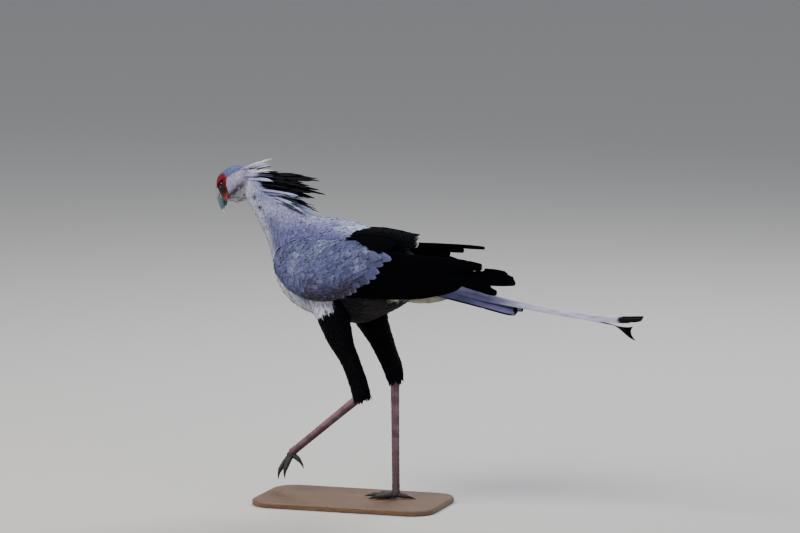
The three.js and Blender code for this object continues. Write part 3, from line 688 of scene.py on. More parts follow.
@dataclass(frozen=True)
class OiledBoard(Finish):
    """Oiled oak board: brushed grain along its length, slightly uneven shine."""

    name: str = "oiled_oak"
    light: str = "#8a6a4a"
    dark: str = "#4e3524"
    grain_mm: float = 5.0

    def paint(self, tree: Tree, shader: Node, place: Socket) -> None:
        """Noise drawn out along X for the grain, with finer pores across it."""
        drawn = add_node(tree, "Mapping", {"Vector": place, "Scale": (0.06, 1.0, 1.0)}).outputs[0]
        rings = add_noise(tree, drawn, self.grain_mm * 2.4, 4.0)
        pores = add_noise(tree, drawn, self.grain_mm * 0.22, 2.0)
        board = add_mix(tree, rings, rgba(self.dark), rgba(self.light))
        closed = add_node(tree, "MapRange", {"Value": pores, "From Min": 0.36, "From Max": 0.5}).outputs[0]
        feed(shader, {
            "Base Color": add_mix(tree, closed, rgba(self.dark), board),
            "Roughness": add_math(tree, "MULTIPLY_ADD", rings, 0.2, 0.35),
            "Normal": add_bump(tree, closed, 0.2),
        })


@dataclass(frozen=True)
class StudioFloor(Finish):
    """Matt pale studio floor."""

    name: str = "studio_floor"
    shade: str = "#c9c8c4"

    def paint(self, tree: Tree, shader: Node, place: Socket) -> None:
        """One pale colour with barely visible cloudiness."""
        cloud = add_math(tree, "MULTIPLY", add_noise(tree, place, 400.0), 0.1)
        pale = add_mix(tree, cloud, rgba(self.shade), rgba("#b8b7b3"))
        feed(shader, {"Base Color": pale, "Roughness": 0.9})


# Stage


@dataclass
class Studio:
    """Floor, soft lights and the camera at the photograph's angle and framing."""

    turn: float = 18.0  # degrees round from square on
    rise: float = 8.0  # degrees above the horizon
    aim: tuple[float, float, float] = (0.1293, 0.0, 0.6328)
    distance: float = 14.0
    view_width: float = 2.08  # metres across the picture at the bird
    sensor: float = 36.0

    def build(self) -> None:
        """Makes the floor, the lights and the camera."""
        self.lay_floor()
        self.hang_lights()
        self.place_camera()

    def lay_floor(self) -> None:
        """A flat pale sheet that runs on far enough to show no edge."""
        run = np.linspace(-45, 45, 7)
        points = np.stack(np.broadcast_arrays(run[None], run[:, None], np.zeros((1, 1))), -1)
        mesh = bpy.data.meshes.new("floor")
        quads = Grids(points[None], np.zeros(3)).quads()
        mesh.from_pydata(points.reshape(-1, 3).tolist(), [], quads.tolist())
        mesh.materials.append(StudioFloor().build())
        add_object("floor", mesh)

    def hang_lights(self) -> None:
        """A large soft light from the upper left, a weaker one from the right, one behind and a pale sky."""
        lamps = [
            ("key", (-2.4, -2.6, 4.6), 2.6, 290.0, "#fff8ee"),
            ("fill", (3.6, -3.0, 2.2), 3.5, 50.0, "#dfe8ff"),
            ("rim", (0.6, 3.2, 4.2), 2.4, 190.0, "#f6f7ff"),
        ]
        for name, place, size, power, shade in lamps:
            light = bpy.data.lights.new(name, "AREA")
            light.shape, light.size, light.energy, light.color = "DISK", size, power, linear(shade)
            self.point(add_object(name, light), np.array(place), np.array(self.aim) - place)
        world = bpy.data.worlds.new("sky")
        world.use_nodes = True
        feed(world.node_tree.nodes["Background"], {"Color": rgba("#dfe4ee"), "Strength": 0.45})
        bpy.context.scene.world = world

    def place_camera(self) -> None:
        """A long lens that looks at the bird from the photograph's side and height."""
        a, e = np.radians([self.turn, self.rise])
        back = np.array([np.sin(a) * np.cos(e), -np.cos(a) * np.cos(e), np.sin(e)])
        lens = bpy.data.cameras.new("camera")
        lens.sensor_width = self.sensor
        lens.lens = self.sensor * self.distance / self.view_width
        lens.clip_end = 100.0
        camera = add_object("camera", lens)
        self.point(camera, np.array(self.aim) + back * self.distance, -back)
        bpy.context.scene.camera = camera

    @staticmethod
    def point(thing: bpy.types.Object, place: Array, heading: Array) -> None:
        """Puts a lamp or camera at a place, looking along the heading."""
        thing.location = place
        thing.rotation_euler = Vector(heading).to_track_quat("-Z", "Y").to_euler()


# The bird's forms

# Body from the tail's root to the head: underside or front edge, upper or back edge, middle y, half width
BODY = [
    [205, 558, 186, 612, 0, 22], [150, 537, 142, 652, 0, 47], [92, 502, 94, 680, 0, 66],
    [10, 466, 30, 715, 0, 80], [-56, 471, -40, 734, 0, 88], [-124, 483, -90, 739, 0, 87],
    [-178, 508, -122, 741, 0, 80], [-215, 549, -142, 750, 0, 71], [-233, 600, -160, 761, 0, 60],
    [-244, 650, -186, 775, 0, 49], [-266, 699, -214, 788, 0, 41], [-290, 744, -244, 806, 0, 36],
    [-309, 774, -276, 838, 0, 33], [-329, 806, -313, 844, 0, 19],
]
# Head in its own frame: forward, lower and upper edge, half width
SKULL = [
    [-49, -17, 14, 14], [-41, -30, 27, 24], [-26, -40, 37, 31], [-6, -45, 42.5, 33], [12, -44, 44, 30.5],
    [26, -39, 40, 25], [37, -33, 30, 19], [44.5, -27, 17, 13],
]
HEAD_PLACE = np.array([-349.0, 0.0, 818.0])
HEAD_PITCH, HEAD_TURN = 45.0, -4.0


def head_axes() -> Array:
    """Columns: forward to the bill, to the bird's left and up, as the head points."""
    pitch, turn = np.radians([-HEAD_PITCH, HEAD_TURN])
    about_y = np.array([[np.cos(pitch), 0, np.sin(pitch)], [0, 1, 0], [-np.sin(pitch), 0, np.cos(pitch)]])
    about_z = np.array([[np.cos(turn), -np.sin(turn), 0], [np.sin(turn), np.cos(turn), 0], [0, 0, 1]])
    return about_z @ about_y @ np.diag([-1.0, -1.0, 1.0])


HEAD_AXES = head_axes()


def in_head(p: Array) -> Array:
    """Places points of the head's own frame."""
    return p @ HEAD_AXES.T + HEAD_PLACE


def to_head(p: Array) -> Array:
    """Points as seen in the head's own frame."""
    return (p - HEAD_PLACE) @ HEAD_AXES


def forward_up(p: Array) -> tuple[Array, Array]:
    """How far forward and how far up points are in the head's own frame."""
    own = to_head(p)
    return own[..., 0], own[..., 2]


def blot(x: Array, z: Array, place: Sequence[float], size: float) -> Array:
    """A soft round spot in side view: exp(-distance^2 / (2 size^2))."""
    return np.exp(-((x - place[0]) ** 2 + (z - place[1]) ** 2) / (2 * size * size))


# Front edge of breast and neck: height and how far forward
FRONT_EDGE = [[470, -150], [550, -205], [600, -224], [650, -236], [700, -256], [745, -278], [850, -330]]


@dataclass(frozen=True)
class Palette:
    """Colours of the plumage and skin, as hex."""

    neck: str = "#a3a4cc"
    neck_front: str = "#c3c8dd"
    mantle: str = "#686b9b"
    # Pale blue-white: a painted highlight along the back's ridge, and the pale tips of grey crest plumes.
    mantle_edge: str = "#ccd8fb"
    breast: str = "#cbcbdb"
    belly: str = "#0c0a0b"
    belly_patch: str = "#221b1e"
    undertail: str = "#a3a28c"
    covert: str = "#565b84"
    covert_brown: str = "#4f4356"
    covert_edge: str = "#9da3c4"
    black: str = "#030409"
    brown_black: str = "#0c0707"
    white: str = "#d9d9dc"
    tail_grey: str = "#67658a"
    streamer: str = "#aeafc2"
    cap: str = "#6975ac"
    cheek: str = "#b0a9c6"


INK = Palette()


def hue(name: str) -> Array:
    """Linear colour of a hex code, or of that name in the palette."""
    return linear(name if name.startswith("#") else getattr(INK, name))


def layered(tone: Array, *coats: tuple[str | Array, Array]) -> Array:
    """Lays colours over a tone in turn, each with its share at every point."""
    for shade, share in coats:
        tone = mix(tone, hue(shade) if isinstance(shade, str) else shade, share)
    return tone


def graded(places: Sequence[float], *tables: Sequence[float]) -> Callable[[Array], Array | tuple[Array, ...]]:
    """Function of u that reads one or more tables of numbers given at those places along u."""

    def read(u: Array) -> Array | tuple[Array, ...]:
        """The tables' values at u."""
        found = tuple(np.interp(u, places, table) for table in tables)
        return found if len(found) > 1 else found[0]

    return read


@dataclass
class Coat:
    """Small feathers of one part of the bird, laid on its skin from front to back."""

    name: str
    surface: Surface
    spacing: Callable[[Array], Array]
    size: Callable[[Array], tuple[Array, Array]]  # length and width from u, mm
    tint: Callable[[Array], Array]  # colour from root points
    finish: Plumage
    slot: str
    lift: float = 4.0
    sink: float = 1.0
    lie: int = 1
    vane: Vane = Vane()
    edge: float = 0.2  # how far the rims pale
    vary: float = 0.1  # spread of the shades between feathers
    span_u: tuple[float, float] | None = None
    span_v: tuple[float, float] = (0.0, 360.0)
    keep: Callable[[Array], Array] | None = None  # which root points to keep
    seed: int = SEED

    def grids(self) -> Grids:
        """Scatters the roots, lays the feathers and shades each a little differently, paler at its rim."""
        rng = np.random.default_rng(self.seed)
        u, v = scatter(self.surface, self.spacing, rng, self.span_u, self.span_v)
        root = self.surface.at(u, v)
        if self.keep:
            held = self.keep(root)
            u, v, root = u[held], v[held], root[held]
        length, width = self.size(u)
        length = length * rng.uniform(0.85, 1.15, u.shape)
        width = width * rng.uniform(0.85, 1.15, u.shape)
        lift = self.lift * rng.uniform(0.7, 1.15, u.shape)
        turn = rng.normal(0, 6, u.shape)
        points, barb, bake = lay_feathers(
            self.surface, u, v, length, width, lift, turn, rng, self.vane, self.sink, self.lie
        )
        s = self.vane.shares()[None, :, None]
        c = np.linspace(-1, 1, self.vane.cols + 1)[None, None, :]
        rim = np.clip(ease(s, 0.6, 1.0) * 0.8 + 0.5 * np.abs(c) ** 3, 0, 1)
        shade = 1 + rng.normal(0, self.vary, u.shape)[:, None, None]
        base = self.tint(root)[:, None, None, :] * shade[..., None]
        tint = base * (1 - 0.3 * (1 - s[..., None]))
        tint = tint + (np.minimum(base * 1.7, 1) - tint) * (self.edge * rim)[..., None]
        return Grids(points, tint, barb, bake)

    def build(self) -> bpy.types.Object:
        """Makes the coat one piece."""
        return make_piece(self.name, [self.grids()], self.finish)


DOWN = Plumage("down", barb_mm=2.0, shaft_share=0.0, rough=0.9)
CONTOUR = Plumage("contour_feather")
# Stained places on the neck: where, how large and their colour
NECK_SPOTS = (((-271, 771), 3.5, "#3b2030"), ((-286, 797), 5.0, "#6c7396"), ((-232, 742), 4.0, "#6f7194"))


def black_edge(y: Array) -> Array:
    """Where along the back its black feathers begin, further forward to the sides."""
    return lerp(42.0, -20.0, np.clip(np.abs(y) / 52, 0, 1))


@dataclass
class Body:
    """Trunk and neck: one skin, and coats of feathers that run from the head to the tail."""

    depth: float = 3.0
    neck_row: float = 8.4
    surface: Profile = field(init=False)

    def __post_init__(self) -> None:
        """The skin lies inside the outline by the coat's depth."""
        self.surface = Profile(BODY, inset=self.depth)

    @staticmethod
    def tint(p: Array) -> Array:
        """Grey neck and back with a painted highlight along the back's top, black behind the shoulders, pale
        breast, dark belly, whitish under the tail.
        """
        x, y, z = p[..., 0], np.abs(p[..., 1]), p[..., 2]
        blotch = speckle(p, 26, 1)
        behind = x - black_edge(y) + 9 * speckle(p, 12, 3)
        patch = ease(x, -20, 10) * ease(x, 78, 46) * ease(z, 476, 490) * ease(blotch, -0.4, 0.5)
        spots = [(shade, 1.3 * blot(x, z, place, size)) for place, size, shade in NECK_SPOTS]
        return layered(
            hue("mantle"),
            ("neck", ease(z + 0.12 * x, 684, 750) + 0.2 * blotch),
            ("neck_front", ease(table_at(FRONT_EDGE, z) + 34 - x, 0, 30)),
            ("breast", ease(z, 640, 560) * ease(x, -150, -190) + ease(z, 560, 500)),
            ("streamer", ease(x, 120, 170) * ease(z, 650, 610)),
            *spots,
            # Painted highlight: pale blue-white along the top of the back, ahead of its black feathers.
            ("mantle_edge", ease(behind, -95, -40) * ease(z, 700, 728) * 0.75),
            ("black", ease(behind, -24, -16) * ease(z, 600, 620)),
            ("belly", ease(x, -112, -92) * ease(z, 572, 560)),
            ("belly_patch", patch * ease(z, 545, 530)),
            ("undertail", ease(x, 66, 84) * ease(z, 520, 527) * ease(z, 600, 580)),
        )

    def build(self) -> None:
        """Skin, trunk coat and neck coat."""
        skin = self.surface.skin(70, 56, (10, 4))
        make_piece("body_skin", [Grids(skin, self.tint(skin) * 0.7, closed=True)], DOWN,
                   ("torso", "neck_lower", "neck_upper"))
        trunk, neck = [0, 3, 7, 9], [8, 10, 13]
        Coat(
            "trunk_coat", self.surface, graded(trunk, [6.0, 6.6, 6.2, 5.0]),
            graded(trunk, [26, 34, 30, 22], [12, 15, 12, 9]), self.tint, CONTOUR, "grey_feathers",
            lift=3.6, sink=0.6, lie=-1, span_u=(0.05, self.neck_row), vane=Vane(fray=0.05), vary=0.16,
        ).build()
        Coat(
            "neck_coat", self.surface, graded(neck, [4.2, 3.4, 2.8]), graded(neck, [21, 18, 13], [8, 6, 4.2]),
            self.tint, replace(CONTOUR, name="neck_feather", barb_mm=1.2), "pale_feathers",
            lift=2.8, sink=0.5, lie=-1, span_u=(self.neck_row, 13.0), vane=Vane(rows=4, fray=0.06), vary=0.18,
            seed=SEED + 1,
        ).build()


# Long feathers

COLUMNS = np.array([-1, -0.78, -0.45, -0.16, -0.05, 0, 0.05, 0.16, 0.45, 0.78, 1.0])


@dataclass(frozen=True)
class Quill:
    """Shape of a long feather."""

    rows: int = 40
    narrow: float = 0.8  # the leading vane's share of the half width
    tip: float = 0.3  # share of its width left at the tip
    taper: float = 0.74  # where it begins to draw in
    rounded: float = 0.45  # how far the tip's corners are drawn back, share of the width
    foot: float = 0.45  # share of its width at the root
    notches: int = 3
    deep: float = 0.35  # depth of a split, share of the half width
    camber: float = 0.08
    ridge: float = 0.5  # height of the shaft, mm
    fray: float = 1.2  # raggedness of the end, mm


def long_feathers(
    spine: Array, across: Array, face: Array, width: Array, quill: Quill, rng: Rng
) -> tuple[Array, Array]:
    """Builds long feathers about their shafts.

    A point c across lies at the shaft plus c * half width * across. The half width swells from the foot,
    draws in to the tip and is cut by a few narrow splits; the face drops by camber * half width * c^2 and the
    shaft stands up as a ridge.

    Args:
        spine: points of the shafts, (feathers, rows + 1, 3).
        across: unit directions across them, alike in shape.
        face: unit directions off their faces.
        width: greatest widths, mm.
        quill: their shape.
        rng: source of splits and frays.

    Returns:
        Grids of points and of places on each feather in mm.
    """
    n = len(spine)
    s = stations(quill)[None, :, None]
    c = COLUMNS[None, None, :]
    draw = np.maximum(0, (s - quill.taper) / (1 - quill.taper))
    outline = lerp(quill.foot, 1, np.minimum(1, s / 0.3)) * lerp(1, quill.tip, draw**2)
    half = width[:, None, None] / 2 * outline * np.where(c < 0, quill.narrow, 1.0)
    for _ in range(quill.notches):
        place = rng.uniform(0.3, 0.97, (n, 1, 1))
        depth = rng.uniform(0.2, 1.0, (n, 1, 1)) * quill.deep * (rng.uniform(size=(n, 1, 1)) < 0.75)
        side = np.sign(rng.uniform(-1, 1, (n, 1, 1)))
        cut = np.maximum(0, 1 - np.abs(s - place) / (0.9 / quill.rows))
        half = half * (1 - depth * cut * (np.sign(c) == side) * np.abs(c) ** 2)
    heading = unit(np.gradient(spine, axis=1))
    torn = quill.fray * rng.uniform(-1, 1, (n, 1, len(COLUMNS)))
    back = (quill.rounded * width[:, None, None] * c * c + torn) * ease(s, quill.taper, 1) ** 1.5
    rise = quill.ridge * np.exp(-((c / 0.08) ** 2)) - quill.camber * half * c * c
    aside = c * half
    points = (
        spine[:, :, None]
        + across[:, :, None] * aside[..., None]
        + face[:, :, None] * rise[..., None]
        - heading[:, :, None] * back[..., None]
    )
    run = np.linalg.norm(spine[:, -1] - spine[:, 0], axis=-1)[:, None, None]
    barb = np.stack([aside, np.broadcast_to(s * run, aside.shape)], -1)
    return points, barb


def stations(quill: Quill) -> Array:
    """Shares of the length at which a long feather has its rows, closer towards the tip."""
    q = np.linspace(0, 1, quill.rows + 1)
    return 1 - (1 - q) ** 1.25


def charted(points: Array, face: Array, barb: Array, chart: Array) -> tuple[Array, ...]:
    """Turns long feathers to face outwards and gives each a small patch of the bake map.

    Args:
        points: grids of points.
        face: directions off their faces, broadcast to the points.
        barb: places on the feathers, mm.
        chart: each feather's place on the bake map.

    Returns:
        Points, places on the feathers and bake map places.
    """
    s, c = (np.linspace(-0.5, 0.5, n) for n in points.shape[1:3])
    patch = np.stack(np.broadcast_arrays(c[None, None], s[None, :, None]), -1) * BAKE_PATCH
    return face_out(points, np.broadcast_to(face, points.shape), barb, chart[:, None, None] + patch)


# Wings

# How far out the side surface that a folded wing lies on is
FLANK = [
    [-260, 52], [-200, 74], [-140, 91], [-60, 97], [20, 91],
    [90, 81], [160, 73], [250, 65], [350, 56], [450, 45],
]
FLANK_MIDDLE, FLANK_REACH = 606.0, 152.0
# Fleshy front of the wing: lower and upper edge, height off the flank, half thickness
WING_CORE = [
    [-213, 620, -212, 638, 2, 6], [-204, 596, -198, 660, 4, 12], [-166, 556, -158, 684, 6, 17],
    [-100, 532, -94, 690, 7, 19], [-30, 538, -22, 693, 7, 18], [34, 574, 44, 690, 6, 14],
    [84, 620, 92, 682, 4, 8], [118, 650, 124, 668, 2, 4],
]
SHOULDER = (-150.0, 640.0)
SECONDARY_TIPS = ([240, 562], [330, 574], [300, 628])
COVERT_EDGE = ([-88, 538], [30, 536], [114, 650])
# Flight feathers beyond the secondaries: root and tip in side view, and width
PRIMARIES = [
    [90, 650, 386, 564, 24], [80, 648, 372, 574, 26], [70, 646, 356, 586, 26], [-20, 600, 436, 594, 24],
    [-20, 604, 432, 603, 25], [-20, 608, 418, 612, 26],
]
# Black feathers draped over the wing's upper edge: root, tip, width, height at the tip
SCAPULARS = [
    [-6, 676, 92, 668, 30, 20], [-2, 684, 104, 674, 28, 19.5], [2, 690, 114, 680, 30, 18],
    [6, 697, 126, 686, 26, 16], [10, 703, 136, 690, 28, 14],
]
LAYER = 1.3  # step between the layers of a folded wing, mm
SECONDARY_WIDTH = 38
FLIGHT_DEPTH = -7.0  # how far off the flank the innermost layer lies, mm


def flank(x: Array, z: Array) -> Array:
    """How far out the flank is at a point of the side view."""
    table = np.asarray(FLANK, float)
    i = np.clip(np.searchsorted(table[:, 0], x, side="right") - 1, 0, len(table) - 2)
    f = np.clip((x - table[i, 0]) / (table[i + 1, 0] - table[i, 0]), 0, 1)
    rounding = np.sqrt(np.maximum(0.08, 1 - ((z - FLANK_MIDDLE) / FLANK_REACH) ** 2))
    return blend(FLANK, i + f)[..., 1] * rounding


FLIGHT = Plumage(
    "flight_feather", barb_mm=1.8, streak=0.05, rough=0.7, sheen=0.0, shaft="#0c0b10", relief_mm=0.1,
    mottle=0.1, gloss=0.02,
)


@dataclass
class Wing:
    """A folded wing: coverts over black flight feathers, laid along the body's side."""

    name: str
    hand: int
    lift: float
    slide: float
    tertials: Sequence[Sequence[float]]
    coverts: Sequence[tuple[float, float, float]] = (
        (0, 116, 34), (30, 98, 33), (58, 82, 32), (82, 68, 30), (104, 60, 28),
    )  # how far back from the covert edge, length and width of each tier
    covert_count: int = 13
    secondaries: int = 14

    def lay(self, p: Array) -> Array:
        """Lays points of the wing's flat plan, y being the height off the flank, on the body's side."""
        dx = p[..., 0] + self.slide * np.clip((p[..., 0] + 60) / 380, 0, 1) - SHOULDER[0]
        dz = p[..., 2] - SHOULDER[1]
        turn = np.radians(self.lift)
        x = SHOULDER[0] + dx * np.cos(turn) - dz * np.sin(turn)
        z = SHOULDER[1] + dx * np.sin(turn) + dz * np.cos(turn)
        return np.stack([x, self.hand * (flank(x, z) + p[..., 1]), z], -1)

    def chart(self, root: Array) -> Array:
        """Place of a plan point on the wing's unwrap."""
        return np.stack([(root[..., 0] + 240) / 720, (root[..., 2] - 500) / 220], -1)

    def flat_feathers(
        self, root: Array, tip: Array, width: Array, outs: Array, bow: Array, quill: Quill,
        rng: Rng,
    ) -> tuple[Array, Array, Array]:
        """Feathers drawn straight in the plan and laid on the flank.

        Args:
            root: x and z of the roots.
            tip: x and z of the tips.
            width: their widths, mm.
            outs: height off the flank at root and at tip.
            bow: how far their middles bow upwards, mm.
            quill: their shape.
            rng: source of splits.

        Returns:
            Points, places on the feathers and bake map places.
        """
        s = stations(quill)[None, :, None]
        chord = (tip - root)[:, None]
        over = unit(np.stack([-chord[..., 1], chord[..., 0]], -1))
        flat = root[:, None] + chord * s + over * bow[:, None, None] * 4 * s * (1 - s)
        height = outs[:, None, 0] + (outs[:, None, 1] - outs[:, None, 0]) * s[..., 0]
        spine = np.stack([flat[..., 0], height, flat[..., 1]], -1)
        across = np.broadcast_to(np.stack([over[..., 0], 0 * over[..., 0], over[..., 1]], -1), spine.shape)
        points, barb = long_feathers(spine, across, np.broadcast_to(SIDE, spine.shape), width, quill, rng)
        return charted(self.lay(points), SIDE * self.hand, barb, self.chart(spine[:, 0]))

    def flight_rows(self) -> Array:
        """Root, tip, width, height off the flank at both, and bow of each flight feather, innermost last."""
        out = FLIGHT_DEPTH
        rows = [[*row, out + LAYER * i, out + LAYER * i, 0] for i, row in enumerate(PRIMARIES)]
        out += LAYER * len(PRIMARIES)
        step = LAYER * 9 / self.secondaries
        for i in range(self.secondaries):
            f = i / (self.secondaries - 1)
            here = out + step * i
            tip = bezier(*SECONDARY_TIPS, np.array(f))
            root = [lerp(-110, -30, f), lerp(568, 646, f)]
            rows.append([*root, *tip, SECONDARY_WIDTH, here, here, lerp(-9, 0, f)])
        out += step * self.secondaries
        rows += [[*row, 9.0, off, 0] for *row, off in SCAPULARS]
        rows += [[*row, min(out, 13.0), out + LAYER * i, 4] for i, row in enumerate(self.tertials)]
        return np.array(rows)

    def flight(self) -> list[Grids]:
        """Primaries, secondaries and tertials: black, some with pale worn tips and edges."""
        rng = np.random.default_rng(SEED + 10)
        grids = []
        table = self.flight_rows()
        first, last = len(PRIMARIES), len(table) - len(self.tertials)
        for inner, t, quill in (
            (False, table[:first], Quill(tip=0.7, rounded=0.14, taper=0.9, notches=1, deep=0.15, fray=0.8)),
            (False, table[first:last], Quill(tip=0.45, rounded=0.3, notches=1, deep=0.15, fray=0.8)),
            (True, table[last:], Quill(tip=0.75, rounded=0.16, taper=0.86, notches=1, deep=0.2)),
        ):
            root, tip, width, outs, bow = t[:, 0:2], t[:, 2:4], t[:, 4], t[:, 5:7], t[:, 7]
            points, barb, bake = self.flat_feathers(root, tip, width, outs, bow, quill, rng)
            shade = rng.uniform(0.8, 1.35, (len(t), 1, 1, 1))
            s = stations(quill)[None, :, None]
            c = np.abs(COLUMNS)
            brown = 0.8 * (c**4) * rng.uniform(0, 1, (len(t), 1, 1))
            tint = mix(hue("black") * shade * np.ones_like(points), hue("brown_black"), brown)
            if inner and self.hand == RIGHT:
                tint = mix(hue("brown_black") * np.ones_like(points), hue("black"), ease(s, 0.2, 0.9) * 0.6)
            elif inner:
                rim = ease(s, 0.984, 0.99) * np.linspace(0.3, 1, len(t))[:, None, None]
                tint = mix(tint, hue("white"), rim * np.ones_like(c))
            grids.append(Grids(points, tint, barb, bake))
        return grids

    def covert_tint(self, root: Array, rng: Rng) -> Array:
        """Slate blue-grey with brownish blotches, painted shade low in front, black along the upper edge."""
        x, z = root[..., 0], root[..., 2]
        tone = layered(
            hue("covert"),
            ("covert_edge", 0.14 * ease(z, 640, 690) + 0.28 * speckle(root, 30, 4)),
            ("covert_brown", ease(speckle(root, 34, 5), 0.0, 0.6) * ease(z, 670, 620) * 0.65),
            # Painted shade: a dark brown that deepens towards the wing's lower front edge.
            (hue("covert_brown") * 0.35, ease(z - 0.12 * x, 600, 556) * 0.92),
        ) * rng.uniform(0.75, 1.25, (*root.shape[:-1], 1))
        return mix(tone, hue("black"), ease(z - 690 + 0.28 * x, -3, 2) * ease(x, -6, 4))

    def covert_rows(self) -> list[Grids]:
        """Tiers of overlapping coverts, each feather dark at its middle with a paler rim."""
        rng = np.random.default_rng(SEED + 20)
        quill = Quill(rows=16, narrow=0.95, tip=0.4, taper=0.5, rounded=0.2, notches=1, deep=0.15, camber=0.1,
                      ridge=0.25, fray=0.8)
        s = stations(quill)[None, :, None, None]
        c = np.abs(COLUMNS)[None, None, :, None]
        grids = []
        for tier, (back, length, width) in reversed(list(enumerate(self.coverts))):
            n = self.covert_count - tier
            f = np.clip((np.arange(n) + (tier % 2) * 0.5 + rng.uniform(-0.16, 0.16, n)) / (n - 1), 0, 1)
            slope = np.radians(lerp(-40, -6, f))
            along = np.stack([np.cos(slope), np.sin(slope)], -1)
            tip = bezier(*COVERT_EDGE, f) - along * (back + rng.uniform(-8, 6, n))[:, None]
            root = tip - along * (length * lerp(0.8, 1, f))[:, None]
            outs = np.stack([np.full(n, 9.0 + tier), 20 + 1.2 * tier + (np.arange(n) % 2) * 0.8], -1)
            wide, bow = width * rng.uniform(0.9, 1.1, n), rng.uniform(-2, 2, n)
            points, barb, bake = self.flat_feathers(root, tip, wide, outs, bow, quill, rng)
            base = self.covert_tint(self.lay(np.stack([tip[:, 0], 0 * f, tip[:, 1]], -1)), rng)[:, None, None]
            rim = np.maximum(ease(s, 0.93, 1.0), ease(c, 0.8, 1.0) * ease(s, 0.4, 0.8))
            rim = rim * rng.uniform(0.2, 1, (n, 1, 1, 1))
            streak = rng.uniform(-1, 1, (n, 1, len(COLUMNS), 1))
            dark = base * (1 - 0.25 * ease(1 - c, 0.5, 1.0) * ease(s, 0.4, 0.9)) * (1 + 0.22 * streak)
            grids.append(Grids(points, mix(dark, hue("covert_edge"), (rim * 0.42)[..., 0]), barb, bake))
        return grids

    def build(self) -> None:
        """Skin of the fleshy front, its small coverts, the larger coverts and the flight feathers."""
        core = Profile(WING_CORE, inset=2.5, warp=self.lay)
        skin = core.skin(40, 32, (5, 8))
        rng = np.random.default_rng(SEED + 30)
        grid = Grids(skin, self.covert_tint(skin, rng) * 0.5, closed=True)
        make_piece(f"wing_skin_{self.name}", [grid], DOWN, (f"wing_{self.name}",))
        make_piece(f"flight_feathers_{self.name}", self.flight(), FLIGHT, thick=0.6)
        covert = Plumage("covert_feather", shaft="#8f96ae", shaft_share=0.2, mottle=0.2)
        make_piece(f"wing_coverts_{self.name}", self.covert_rows(), covert, thick=0.4)
        rows = [0, 2, 5]
        Coat(
            f"lesser_coverts_{self.name}", core, graded(rows, [4.0, 6.5, 9.5]),
            graded(rows, [13, 28, 44], [7, 13, 19]), lambda p: self.covert_tint(p, rng), covert,
            "wing_feathers", sink=0.6, edge=0.3, span_u=(-0.1, 5.0), span_v=(-125, 125),
            vane=Vane(rows=7, fray=0.04), seed=SEED + 2,
        ).build()


WINGS = (
    Wing("left", LEFT, 0.0, 0.0,
         [[-10, 640, 318, 634, 34], [0, 648, 342, 634, 33], [10, 656, 361, 633, 26]]),
    Wing("right", RIGHT, -1.2, -34.0,
         [[-10, 658, 250, 654, 32], [0, 656, 292, 664, 18], [10, 662, 352, 675, 12]]),
)

# Back and tail


@dataclass
class Mantle:
    """Long black feathers of the back, in overlapping tiers on each side of the ridge."""

    count: int = 8
    tiers: int = 5
    reach: float = 163.0
    fall: float = 112.0
    span: float = 90.0
    inner: float = 5.0  # how far off the ridge a tier's first and last feathers are, mm
    outer: float = 56.0
    width: float = 27.0
    step: float = 20.0  # how far each tier starts ahead of the one below, mm

    def line(self, x: Array, y: Array) -> Array:
        """Height of the back: falls from 728 to 702 along it and drops away to the sides like an ellipse."""
        t = np.clip((x + 60) / 220, 0, 1) ** 0.8
        return lerp(728, 702, t) - self.fall * (1 - np.sqrt(1 - np.minimum(0.97, np.abs(y) / self.span) ** 2))

    def build(self) -> None:
        """Each tier starts further forward and lies higher than the one before."""
        rng = np.random.default_rng(SEED + 40)
        quill = Quill(rows=20, narrow=0.95, tip=0.72, taper=0.8, rounded=0.2, notches=1, deep=0.2, foot=0.5,
                      camber=0.05, fray=2.0)
        s = stations(quill)[None]
        grids = []
        for hand in (LEFT, RIGHT):
            for tier in range(self.tiers):
                f = (np.arange(self.count) + 0.5 * (tier % 2)) / (self.count - 0.5)
                spread = 13 if hand == LEFT else -34
                back = self.reach - 24 * tier + spread * f + rng.uniform(-2, 2, f.shape)
                aside = lerp(self.inner, self.outer, f)
                start = black_edge(aside) - 36 + self.step * (self.tiers - 1 - tier)
                y = hand * aside
                x = start[:, None] + (back - start)[:, None] * s
                yy = y[:, None] * lerp(1.0, 0.94, s)
                rise = 1.4 * tier + 1.2 * (1 - f)[:, None] + (0.5 if hand > 0 else 0.0)
                z = self.line(x, yy) + np.minimum(rise, (x - start[:, None]) * 0.16 - 7)
                spine = np.stack([x, yy, z], -1)
                slope = (self.line(x, yy + 1) - self.line(x, yy - 1)) / 2
                across = unit(np.stack([0 * x, np.ones_like(x), slope], -1))
                face = unit(np.cross(unit(np.gradient(spine, axis=1)), across))
                face = face * np.sign(face[..., 2:3])
                points, barb = long_feathers(spine, across, face, np.full(len(f), self.width), quill, rng)
                chart = np.stack([(spine[:, 0, 0] + 80) / 300, (spine[:, 0, 1] + 80) / 160], -1)
                points, barb, bake = charted(points, face[:, :, None], barb, chart)
                tint = hue("black") * rng.uniform(0.8, 1.3, (len(f), 1, 1, 1)) * np.ones_like(points)
                if tier == 0:
                    rim = ease(s, 0.976, 0.986)[..., None] * ease(np.abs(y), 4, 10)[:, None, None]
                    tint = mix(tint, hue("white"), rim * np.ones(len(COLUMNS)) * (0.4 if hand > 0 else 0.95))
                grids.append(Grids(points, tint, barb, bake))
        make_piece("back_feathers", grids, FLIGHT, thick=0.5)


TAIL_CORE = [
    [128, 522, 122, 622, 0, 33], [165, 522, 160, 618, 0, 32], [208, 528, 204, 598, 0, 24],
    [250, 541, 250, 582, 0, 12],
]
# Ridge of the folded tail in side view
RIDGE = [
    [130, 602], [195, 594], [260, 581], [330, 567], [395, 552], [460, 539],
    [525, 529], [590, 522], [655, 518], [722, 518], [792, 525],
]


# Turns along the far streamer, which shows its flared end, degrees
FAR_ROLLS = (44, 42, 40, 37, 33, 28, 22, 16, 12, 9, 8, 14, 62)


